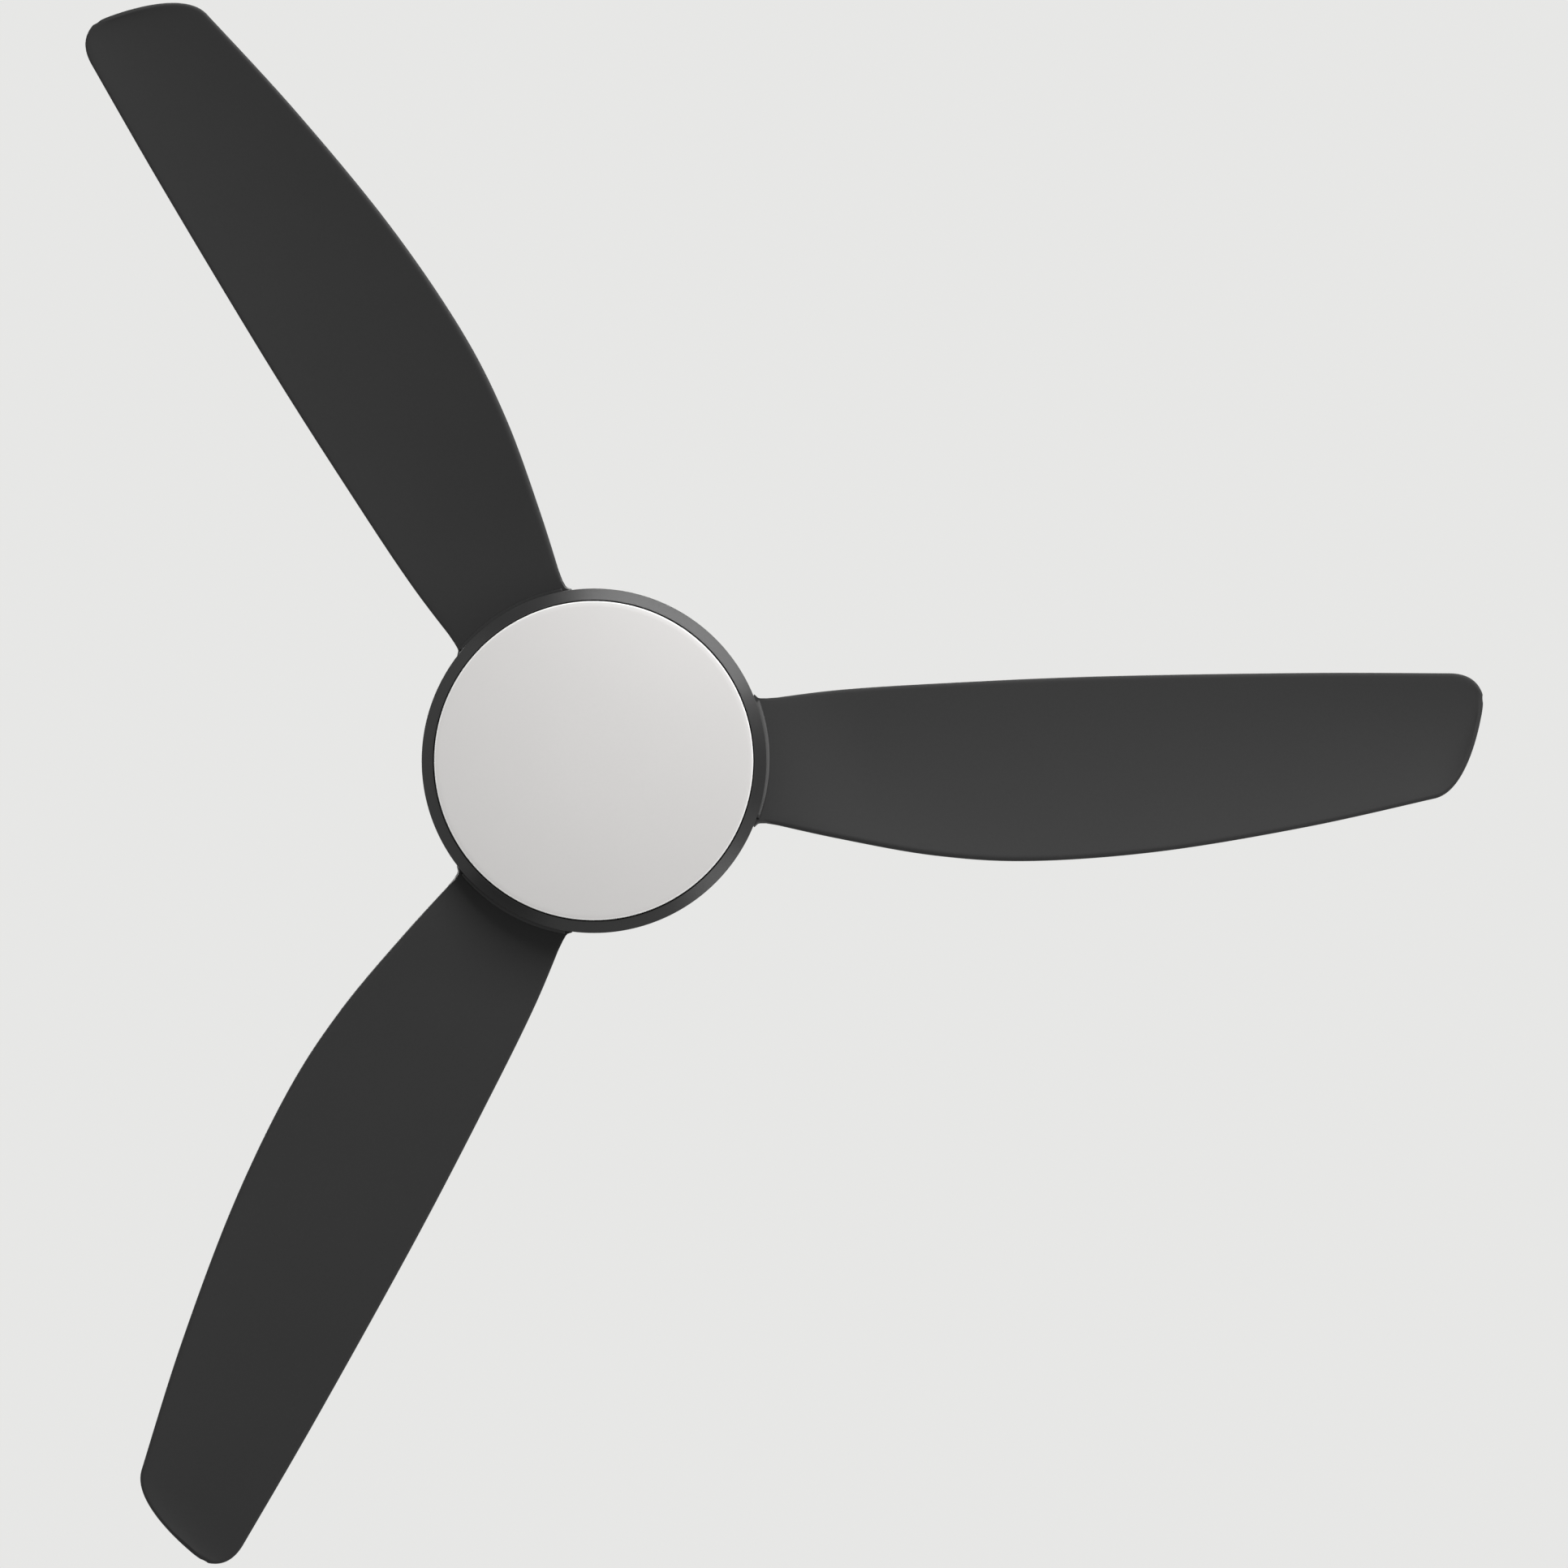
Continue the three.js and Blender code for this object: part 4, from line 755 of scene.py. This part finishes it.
def makeBlade():
    hub, tip = blade["hubRadius"], blade["tipReach"]
    inside = [blade["tongueStart"], *blade["rootRows"], hub]
    outer = tip - 32
    along = [hub + (outer - hub) * (i / blade["alongSteps"]) for i in range(1, blade["alongSteps"] + 1)]
    end = tip - 0.3
    tipShares = [1 - (1 - i / blade["tipSteps"]) ** 1.7 for i in range(1, blade["tipSteps"] + 1)]
    nearTip = [outer + (end - outer) * share for share in tipShares]
    reaches = inside + along + nearTip
    lead, trail = bladeEdges(reaches[0])
    half, middle = (lead - trail) / 2, (lead + trail) / 2
    rims = [1 - step / 45 for step in blade["rimSteps"]]
    count = blade["acrossSteps"]
    flat = [rims[-1] * (1 - 2 * i / count) for i in range(1, count)]
    places = [-place for place in rims] + [-place for place in flat] + rims[::-1]
    points = [(-(middle + place * half), blade["camber"] * (1 - place ** 2)) for place in places]
    piece = startPoint("blade_1_moulding", reaches[0], points[0][0], points[0][1])
    for (y0, z0), (y1, z1) in zip(points, points[1:]):
        drawTo(0, y1 - y0, z1 - z0)
    selectAll()
    for before, reach in zip(reaches, reaches[1:]):
        drawTo(reach - before, 0, 0)
        lead, trail = bladeEdges(reach)
        newHalf, newMiddle = max((lead - trail) / 2, 2.0), (lead + trail) / 2
        bpy.ops.transform.resize(value=(1, newHalf / half, 1), center_override=(0, -middle * mm, 0))
        bpy.ops.transform.translate(value=(0, -(newMiddle - middle) * mm, 0))
        half, middle = newHalf, newMiddle
    for reach in reaches:
        lead, trail = bladeEdges(reach)
        share = max(0, (reach - hub) / (tip - hub))
        arch = easeIn(hub, hub + 70, reach) * min(1, (lead - trail) / 83)
        pitch = blade["rootPitch"] + (blade["tipPitch"] - blade["rootPitch"]) * share
        selectWhere(piece, lambda x, y, z: abs(x - reach) < 0.01)
        bpy.ops.transform.resize(value=(1, 1 / math.cos(math.radians(pitch)), max(arch, 0.001)),
                                 center_override=(0, 0, 0))
        bpy.ops.transform.rotate(value=math.radians(pitch), orient_axis="X", center_override=(0, 0, 0))
    selectAll()
    bpy.ops.transform.translate(value=(0, 0, blade["level"] * mm))
    bpy.ops.mesh.normals_make_consistent(inside=False)
    setMode("OBJECT")
    group = piece.vertex_groups.new(name="thickness")
    thin = blade["tipThickness"] / blade["rootThickness"]
    for vertex in piece.data.vertices:
        reach = vertex.co.x / mm
        share = max(0, (reach - hub) / (tip - hub))
        lead, trail = bladeEdges(reach)
        fromRim = max(0, min(lead + vertex.co.y / mm, -vertex.co.y / mm - trail, end - reach))
        inward = min(1, fromRim / blade["rimWidth"])
        curve = math.sqrt(1 - (1 - inward) ** 2)
        toRim = blade["rimShare"] + (1 - blade["rimShare"]) * curve if reach > hub else 1
        group.add([vertex.index], (1 + (thin - 1) * share) * toRim, "REPLACE")
    shell = piece.modifiers.new("shell", "SOLIDIFY")
    shell.thickness = blade["rootThickness"] * mm
    shell.offset = 0
    shell.vertex_group = "thickness"
    shell.use_even_offset = False
    applyAll(piece)
    return piece


firstBlade = makeBlade()
turns = (0, 120, 240)
bladePieces = [firstBlade] + [copied(firstBlade, f"blade_{index}_moulding") for index in (2, 3)]
for index, (angle, piece) in enumerate(zip(turns, bladePieces), 1):
    if angle:
        turnMesh(piece, angle)
    finishPiece(piece, "rotor", "blade_plastic", [f"blade_{index}"], 40)
print("blades made")


hub = {
    "radius": 115.6, "wall": 2.5, "top": -143.8, "opening": 40, "domeDepth": 54, "skirtDepth": 44,
    "postPlace": 60, "postRadius": 7, "pocketRadius": 4.1, "postHole": 2.2,
    "screwSeat": -147.4, "motorTop": -161.8,
    "slotGap": 0.35, "collarProud": 2.6, "collarAround": -1.6, "collarHeight": 9.6,
}
lowerRing = {"face": 8, "depth": 17, "slope": 8.5, "tongue": 5, "edge": 0.4}
thirds = (60, 180, 300)                            # angles of the posts and the lugs, between the blades
hubShoulder = hub["top"] - hub["domeDepth"]
skirtBottom = hubShoulder - hub["skirtDepth"]


def upright(name, radius, low, high, x, y=0, sides=32):
    clearSelection()
    bpy.ops.mesh.primitive_cylinder_add(vertices=sides, radius=radius * mm, depth=(high - low) * mm,
                                        location=(x * mm, y * mm, (low + high) / 2 * mm))
    piece = bpy.context.active_object
    piece.name = name
    applyPlace()
    return piece


def block(name, lowX, highX, lowY, highY, lowZ, highZ):
    clearSelection()
    bpy.ops.mesh.primitive_cube_add(size=1 * mm, location=(0, 0, 0))
    piece = bpy.context.active_object
    piece.name = name
    piece.scale = (highX - lowX, highY - lowY, highZ - lowZ)
    piece.location = ((lowX + highX) / 2 * mm, (lowY + highY) / 2 * mm, (lowZ + highZ) / 2 * mm)
    applyPlace()
    return piece


def spinFace(piece, steps, angle):
    # fills the drawn outline and spins it into a solid
    selectAll()
    bpy.ops.mesh.edge_face_add()
    selectAll()
    bpy.ops.mesh.spin(steps=steps, angle=angle, center=(0, 0, 0), axis=(0, 0, 1))
    closeUp()
    setMode("OBJECT")
    return piece


def placeAtRoot(piece, angle):
    # tilts a piece to the blade's pitch and turns it to its blade
    turnMesh(piece, -blade["rootPitch"], "X")
    moveMesh(piece, 0, 0, blade["level"])
    if angle:
        turnMesh(piece, angle)
    return piece


def bladeCollar(angle):
    # raised band of the hub shell round a blade root, swept along the hub's side
    half = blade["rootHalf"] + hub["collarAround"]
    reach = math.asin(half / hub["radius"])
    inner, outer = hub["radius"] - 1.2, hub["radius"] + hub["collarProud"]
    tall = hub["collarHeight"] / 2
    outline = softened(band(inner, outer, -tall, tall), 0.7, 4)
    start = [(radius * math.cos(-reach), radius * math.sin(-reach), level) for radius, level in outline]
    piece = startPoint("collar", *start[0])
    for before, after in zip(start, start[1:] + start[:1]):
        drawTo(*[b - a for a, b in zip(before, after)])
    selectAll()
    bpy.ops.mesh.remove_doubles(threshold=0.01 * mm)
    bevelEdges(spinFace(piece, 28, -2 * reach), 0.6, 3, 50)
    return placeAtRoot(piece, angle)


def slotTool(angle):
    # what the blade root leaves free in the shell
    half = (blade["rootHalf"] + hub["slotGap"]) / math.cos(math.radians(blade["rootPitch"]))
    tall = blade["rootThickness"] / 2 + hub["slotGap"]
    piece = block("slot", 90, hub["radius"] + 12, -half, half, -tall, tall)
    bevelEdges(piece, 1.2, 3, 30)
    return placeAtRoot(piece, angle)


def makeHubTopCover():
    def dome(top, wall):
        reach = hub["radius"] - wall
        return pull((hub["opening"], top), (hub["opening"] + 45, top), (reach, top - hub["domeDepth"] * 0.3),
                    (reach, hubShoulder), 26)
    outer = dome(hub["top"], 0) + [(hub["radius"], skirtBottom)]
    inner = [(hub["radius"] - hub["wall"], skirtBottom)] + dome(hub["top"] - hub["wall"], hub["wall"])[::-1]
    piece = turnPiece("hub_top_moulding", softened(outer + inner, 0.7), 144)
    place, seat = hub["postPlace"], hub["screwSeat"]
    posts = [(place * math.cos(math.radians(angle)), place * math.sin(math.radians(angle))) for angle in thirds]
    united(piece, [upright("post", hub["postRadius"], hub["motorTop"] + 0.3, seat + 1, x, y, 24)
                   for x, y in posts])
    united(piece, [bladeCollar(angle) for angle in turns])
    cutAway(piece, [upright("pocket", hub["pocketRadius"], seat, hub["top"] + 2, x, y) for x, y in posts])
    cutAway(piece, [upright("hole", hub["postHole"], hub["motorTop"] - 1, hub["top"], x, y, 16)
                    for x, y in posts])
    cutAway(piece, [slotTool(angle) for angle in turns])
    return piece


def makeLowerRing():
    top = skirtBottom - 0.3
    bottom = top - lowerRing["depth"]
    inner = hub["radius"] - lowerRing["face"]
    bevel = pull((hub["radius"], bottom + lowerRing["slope"]), (hub["radius"] - 2.3, bottom + 6.1),
                 (inner + 3, bottom + 3), (inner + 0.3, bottom), 14)
    tongueOuter = hub["radius"] - hub["wall"] - 0.3
    tongueInner = tongueOuter - hub["wall"]
    tongueTop = top + lowerRing["tongue"]
    outline = [(hub["radius"], top)] + bevel + [
        (inner, bottom + 0.3), (inner, bottom + 4), (tongueInner, top - 4), (tongueInner, tongueTop),
        (tongueOuter, tongueTop), (tongueOuter, top)]
    return turnPiece("hub_ring_moulding", softened(outline, lowerRing["edge"]), 192)


hubTop = makeHubTopCover()
finishPiece(hubTop, "rotor", "housing_plastic", ["hub_top_cover"], 32)
ringPiece = makeLowerRing()
finishPiece(ringPiece, "rotor", "housing_plastic", ["hub_lower_ring"], 32)
print("hub made")


lightCover = {
    "radius": 106.9, "wall": 1.9, "rimTop": -250.3, "skirtBottom": -257.3, "bottom": -273.8,
    "beadWidth": 0.75, "rimDepth": 8,
    "lugHalf": 5, "lugReach": 3.3,                 # degrees each way, and inward
}


def makeLightCover():
    radius, wall = lightCover["radius"], lightCover["wall"]
    low, bottom = lightCover["skirtBottom"], lightCover["bottom"]
    bead = radius - lightCover["beadWidth"]
    rim = low - lightCover["rimDepth"]
    steps = 34
    shares = [1 - i / steps for i in range(steps + 1)]
    dome = [(bead * share, bottom + (rim - bottom) * share ** 2) for share in shares]
    outer = [(radius, lightCover["rimTop"]), (radius, rim + 0.9), (radius - 0.12, rim + 0.35),
             (radius - 0.45, rim + 0.05), (bead + 0.1, rim + 0.05)] + dome
    within = radius - wall
    inner = [(within * share, bottom + wall + (rim - bottom) * share ** 2) for share in shares[::-2]]
    inner += [(within, lightCover["rimTop"])]
    return turnPiece("light_cover_moulding", outer + inner, 192)


def bayonetLug(angle):
    # short inward lug under the rim that locks the cover to the pan
    radius = lightCover["radius"] - lightCover["wall"] + 0.3
    start = math.radians(angle - lightCover["lugHalf"])
    piece = startPoint("lug", radius * math.cos(start), radius * math.sin(start), lightCover["rimTop"] - 2)
    inward = (-lightCover["lugReach"] * math.cos(start), -lightCover["lugReach"] * math.sin(start))
    drawTo(inward[0], inward[1], 0)
    drawTo(0, 0, 2)
    drawTo(-inward[0], -inward[1], 0)
    return spinFace(piece, 8, -math.radians(2 * lightCover["lugHalf"]))


coverPiece = makeLightCover()
united(coverPiece, [bayonetLug(angle) for angle in thirds])
finishPiece(coverPiece, "light_cover", "opal_plastic", ["diffuser"], 38)
print("light cover made")


canopy = {
    "radius": 74, "wall": 1.5, "top": -0.8, "bottom": -63.8, "rimDepth": 18, "mouth": 19,
    "screwLevel": -11, "screwHole": 2.2,
}
trimRing = {"inner": 16.5, "outer": 27, "top": -64.1, "thickness": 2}
rod = {"radius": 10.65, "wall": 2, "top": -28, "bottom": -142.1,
       "pins": ((2.8, -42), (3.3, -126.1))}        # radius and level of the pin holes
couplingCover = {"bore": 10.95, "top": -109.8, "bottom": -141.8, "topRadius": 21, "bottomRadius": 38,
                 "wall": 2}


def lyingBar(name, radius, lowX, highX, y, z, sides=32):
    piece = upright(name, radius, lowX, highX, 0, 0, sides)
    turnMesh(piece, 90, "Y")
    moveMesh(piece, 0, y, z)
    return piece


def barAlongY(radius, lowY, highY, level):
    piece = lyingBar("hole", radius, lowY, highY, 0, 0, 20)
    turnMesh(piece, 90)
    moveMesh(piece, 0, 0, level)
    return piece


def makeCanopy():
    depth = canopy["top"] - canopy["bottom"]

    def bell(rim, mouthLevel):
        return pull((rim, canopy["top"] - canopy["rimDepth"]), (rim, mouthLevel + depth * 0.22),
                    (rim - depth * 0.3, mouthLevel), (canopy["mouth"], mouthLevel), 26)
    inner = canopy["radius"] - canopy["wall"]
    outline = [(canopy["radius"], canopy["top"])] + bell(canopy["radius"], canopy["bottom"])
    outline += bell(inner, canopy["bottom"] + canopy["wall"])[::-1] + [(inner, canopy["top"])]
    piece = turnPiece("canopy_pressing", softened(outline, 0.5), 144)
    cutAway(piece, [lyingBar("hole", canopy["screwHole"], -100, 100, 0, canopy["screwLevel"], 24)])
    return piece


def makeTrimRing():
    low = trimRing["top"] - trimRing["thickness"]
    outline = softened(band(trimRing["inner"], trimRing["outer"], low, trimRing["top"]), 0.8, 4)
    return turnPiece("trim_ring_moulding", outline, 96)


def makeRod():
    outline = softened(band(rod["radius"] - rod["wall"], rod["radius"], rod["bottom"], rod["top"]), 0.4)
    piece = turnPiece("rod_tube", outline, 72)
    for way, level in rod["pins"]:
        cutAway(piece, [lyingBar("hole", way, -25, 25, 0, level, 24)])
    return piece


def makeCouplingCover():
    def bell(topRadius, bottomRadius, top):
        return pull((topRadius, top), (topRadius + 6, top - 6), (bottomRadius, couplingCover["bottom"] + 18),
                    (bottomRadius, couplingCover["bottom"]), 24)
    wall = couplingCover["wall"]
    outline = [(couplingCover["bore"], couplingCover["top"])]
    outline += bell(couplingCover["topRadius"], couplingCover["bottomRadius"], couplingCover["top"])
    outline += bell(couplingCover["topRadius"] - wall, couplingCover["bottomRadius"] - wall,
                    couplingCover["top"] - wall)[::-1]
    outline += [(couplingCover["bore"], couplingCover["top"] - wall)]
    return turnPiece("coupling_moulding", softened(outline, 0.6), 112)


for made, body, slot, node in (
        (makeCanopy(), "mount", "painted_steel", "canopy"),
        (makeTrimRing(), "mount", "housing_plastic", "canopy_trim_ring"),
        (makeRod(), "hanger", "painted_steel", "downrod"),
        (makeCouplingCover(), "hanger", "housing_plastic", "coupling_cover")):
    finishPiece(made, body, slot, [node], 32)
print("canopy, rod and coupling cover made")


screw = {
    "shank": 1.9, "core": 1.45, "pitch": 1.1, "plain": 1.2, "head": 3.8, "rise": 2.2,
    "recess": 1.3, "recessHalf": 2.2, "recessWidth": 0.85, "recessNarrows": 0.55,
}


def makeScrew(length, name):
    # pan head under level 0 with a cross recess, threaded shank above it
    head, rise, shank, core, pitch = (screw[key] for key in ("head", "rise", "shank", "core", "pitch"))
    dome = pull((0, -rise), (head * 0.62, -rise), (head, -rise * 0.8), (head, -rise * 0.22), 9)
    outline = dome + [(head - 0.35, -0.02), (shank, 0), (shank, screw["plain"])]
    level = screw["plain"]
    while level + pitch < length - screw["plain"]:
        outline += [(core, level + pitch * 0.3), (core, level + pitch * 0.45), (shank, level + pitch * 0.9),
                    (shank, level + pitch)]
        level += pitch
    outline += [(core, length - 0.8), (0.9, length), (0, length)]
    piece = turnPiece(name, outline, 28, False)
    half, deep, thin = screw["recessHalf"], screw["recess"], screw["recessWidth"] / 2
    tools = []
    for across in (False, True):
        wide, narrow = (thin, half) if across else (half, thin)
        tool = block("recess", -wide, wide, -narrow, narrow, -rise - 1, -rise + deep)
        setMode("EDIT")
        selectWhere(tool, lambda x, y, z: z > -rise)
        narrower = screw["recessNarrows"]
        bpy.ops.transform.resize(value=(narrower, narrower, 1), center_override=(0, 0, 0))
        setMode("OBJECT")
        tools.append(tool)
    cutAway(piece, tools)
    return piece


canopyScrew = makeScrew(7.6, "canopy_screw_1_turned")
coverScrew = makeScrew(18.9, "cover_screw_1_turned")
otherCanopyScrew = copied(canopyScrew, "canopy_screw_2_turned")
otherCoverScrews = [copied(coverScrew, f"cover_screw_{index}_turned") for index in (2, 3)]
for side, index, piece in ((-1, 1, canopyScrew), (1, 2, otherCanopyScrew)):
    turnMesh(piece, -90 * side, "Y")
    moveMesh(piece, side * (canopy["radius"] + 0.3), 0, canopy["screwLevel"])
    finishPiece(piece, "mount", "machine_steel", [f"canopy_screw_{index}"], 35)
for index, piece in enumerate([coverScrew] + otherCoverScrews):
    angle = math.radians(60 + 120 * index)
    turnMesh(piece, 180, "X")
    place = hub["postPlace"]
    moveMesh(piece, place * math.cos(angle), place * math.sin(angle), hub["screwSeat"] + 0.3)
    finishPiece(piece, "rotor", "machine_steel", [f"cover_screw_{index + 1}"], 35)
print("screws made")


bracket = {
    "sheet": 2.5, "plateX": 54, "plateY": 28, "plateCorner": 5, "stripY": 6, "tabX": 71.7, "tabDepth": 17,
    "armX": 39.25, "armY": 20, "bend": 3.4, "innerBend": 1.0, "wingBottom": -45.5,
    "slotX": 46, "slotWidth": 5.5, "slotLength": 14, "screwHole": 2.2,
    "bowl": 22.2, "mouth": 17, "rodWay": 12.15,
    "shelfWidth": 5, "shelfTop": -19.1, "shelfY": 10, "edge": 0.3,
}


def roundedBlock(name, box, width, axis, segments=4):
    # block whose four edges along one axis are rounded
    piece = block(name, *box)
    choose(piece)
    setMode("EDIT")
    bpy.ops.mesh.select_mode(type="EDGE")
    mesh = bmesh.from_edit_mesh(piece.data)
    for edge in mesh.edges:
        way = edge.verts[1].co - edge.verts[0].co
        edge.select = abs(way[axis]) > 0.99 * way.length
    bmesh.update_edit_mesh(piece.data)
    bpy.ops.mesh.bevel(offset=width * mm, segments=segments)
    bpy.ops.mesh.select_mode(type="VERT")
    setMode("OBJECT")
    return piece


def makeBracket():
    sheet = bracket["sheet"]
    armX, armY, low = bracket["armX"], bracket["armY"], bracket["wingBottom"]
    tabX, tabY = bracket["tabX"], bracket["stripY"]
    plate = roundedBlock("bracket_pressing", (-bracket["plateX"], bracket["plateX"], -bracket["plateY"],
                                              bracket["plateY"], -sheet, 0), bracket["plateCorner"], 2)
    strap = roundedBlock("strap", (-armX, armX, -armY, armY, low, 0), bracket["bend"], 1)
    inside = roundedBlock("inside", (sheet - armX, armX - sheet, -armY - 5, armY + 5, low + sheet, -sheet),
                          bracket["innerBend"], 1)
    cutAway(strap, [inside])
    clip = roundedBlock("clip", (-tabX, tabX, -tabY, tabY, -bracket["tabDepth"], 0), bracket["bend"], 1)
    cutAway(clip, [roundedBlock("inside", (sheet - tabX, tabX - sheet, -tabY - 5, tabY + 5,
                                           -bracket["tabDepth"] - 5, -sheet), bracket["innerBend"], 1)])
    inward, outward = armX - sheet - bracket["shelfWidth"], armX - sheet / 2
    shelfTop, shelfY = bracket["shelfTop"], bracket["shelfY"]
    shelves = [block("shelf", *sorted((side * inward, side * outward)), -shelfY, shelfY,
                     shelfTop - sheet, shelfTop) for side in (-1, 1)]
    united(plate, [strap, clip] + shelves)
    outerBowl = bracket["bowl"] + sheet
    cutAway(plate, [upright("mouth", outerBowl - 0.6, low - 1, low + sheet + 1, 0, 0, 72)])
    lowest = -math.sqrt(bracket["bowl"] ** 2 - bracket["mouth"] ** 2)
    outline = ballArc(outerBowl, lowest, -1, 14) + ballArc(bracket["bowl"], -1, lowest, 14)
    united(plate, [turnPiece("bowl", softened(outline, 0.5), 72)])
    way = bracket["rodWay"]
    deepest = ball["level"] - outerBowl - 1
    tools = [roundedBlock("rodWay", (-way, way, -2 * armY, 0, deepest, low + sheet + 1), 2, 2)]
    for side in (-1, 1):
        x, half = side * bracket["slotX"], bracket["slotWidth"] / 2
        tools.append(roundedBlock("slot", (x - half, x + half, -bracket["slotLength"] / 2,
                                           bracket["slotLength"] / 2, -5, 5), half * 0.98, 2, 8))
    tools.append(lyingBar("hole", bracket["screwHole"], -90, 90, 0, canopy["screwLevel"], 24))
    cutAway(plate, tools)
    bevelEdges(plate, bracket["edge"], 2, 50)
    return plate


ball = {
    "radius": 19, "level": -42, "bore": 10.95, "above": 12, "below": 14.5, "pinWay": 2.8, "pinHalf": 15.3,
    "screwWay": 2.5, "screwDrop": 5,
    "linerInner": 19.6, "linerOuter": 21.6, "linerMouth": 18, "linerTop": 2, "rodWay": 12.15,
}
yoke = {"radius": 15, "top": -112.1, "bottom": -155.1, "rodBore": 10.95, "shaftBore": 10.3, "seat": -142.4,
        "pinLevel": -126.1, "pinWay": 3.3, "screwLevel": -118.1, "screwWay": 2.5}


def ballArc(radius, start, end, steps=18):
    first, last = math.asin(start / radius), math.asin(end / radius)
    return [(radius * math.cos(first + (last - first) * i / steps),
             ball["level"] + radius * math.sin(first + (last - first) * i / steps)) for i in range(steps + 1)]


def makeBall():
    bore, level, radius = ball["bore"], ball["level"], ball["radius"]
    outline = [(bore, level - ball["below"])] + ballArc(radius, -ball["below"], ball["above"])
    outline += [(bore, level + ball["above"])]
    piece = turnPiece("ball_moulding", softened(outline, 0.5), 72)
    half, way = ball["pinHalf"], ball["pinWay"]
    cutAway(piece, [lyingBar("pinWay", way, -half, half, 0, level, 24)])
    cutAway(piece, [block("pinSlot", -half, half, -way, way, level, level + radius)])
    cutAway(piece, [barAlongY(ball["screwWay"], bore - 1, radius + 2, level - ball["screwDrop"])])
    return piece


def makeLiner():
    lowest = -math.sqrt(ball["linerOuter"] ** 2 - ball["linerMouth"] ** 2)
    outline = ballArc(ball["linerOuter"], lowest, ball["linerTop"])
    outline += ballArc(ball["linerInner"], ball["linerTop"], lowest)
    piece = turnPiece("liner_moulding", softened(outline, 0.4), 72)
    way = ball["rodWay"]
    cutAway(piece, [roundedBlock("rodWay", (-way, way, -40, 0, -80, ball["level"] + 5), 2, 2)])
    return piece


def makeYoke():
    outline = band(yoke["shaftBore"], yoke["radius"], yoke["bottom"], yoke["top"])[:3]
    outline += [(yoke["rodBore"], yoke["top"]), (yoke["rodBore"], yoke["seat"]),
                (yoke["shaftBore"], yoke["seat"])]
    piece = turnPiece("yoke_turned", softened(outline, 0.6), 64)
    cutAway(piece, [lyingBar("pinHole", yoke["pinWay"], -30, 30, 0, yoke["pinLevel"], 24)])
    cutAway(piece, [barAlongY(yoke["screwWay"], -30, 30, yoke["screwLevel"])])
    return piece


for made, body, slot, node in (
        (makeBall(), "hanger", "nylon", "hanger_ball"),
        (makeLiner(), "ball_seat", "nylon", "ball_seat_liner"),
        (makeYoke(), "hanger", "zinc_steel", "yoke")):
    finishPiece(made, body, slot, [node], 32)
print("ball joint and yoke made")

bracketPiece = makeBracket()
finishPiece(bracketPiece, "mount", "zinc_steel", ["mounting_bracket"], 35)
print("bracket made")
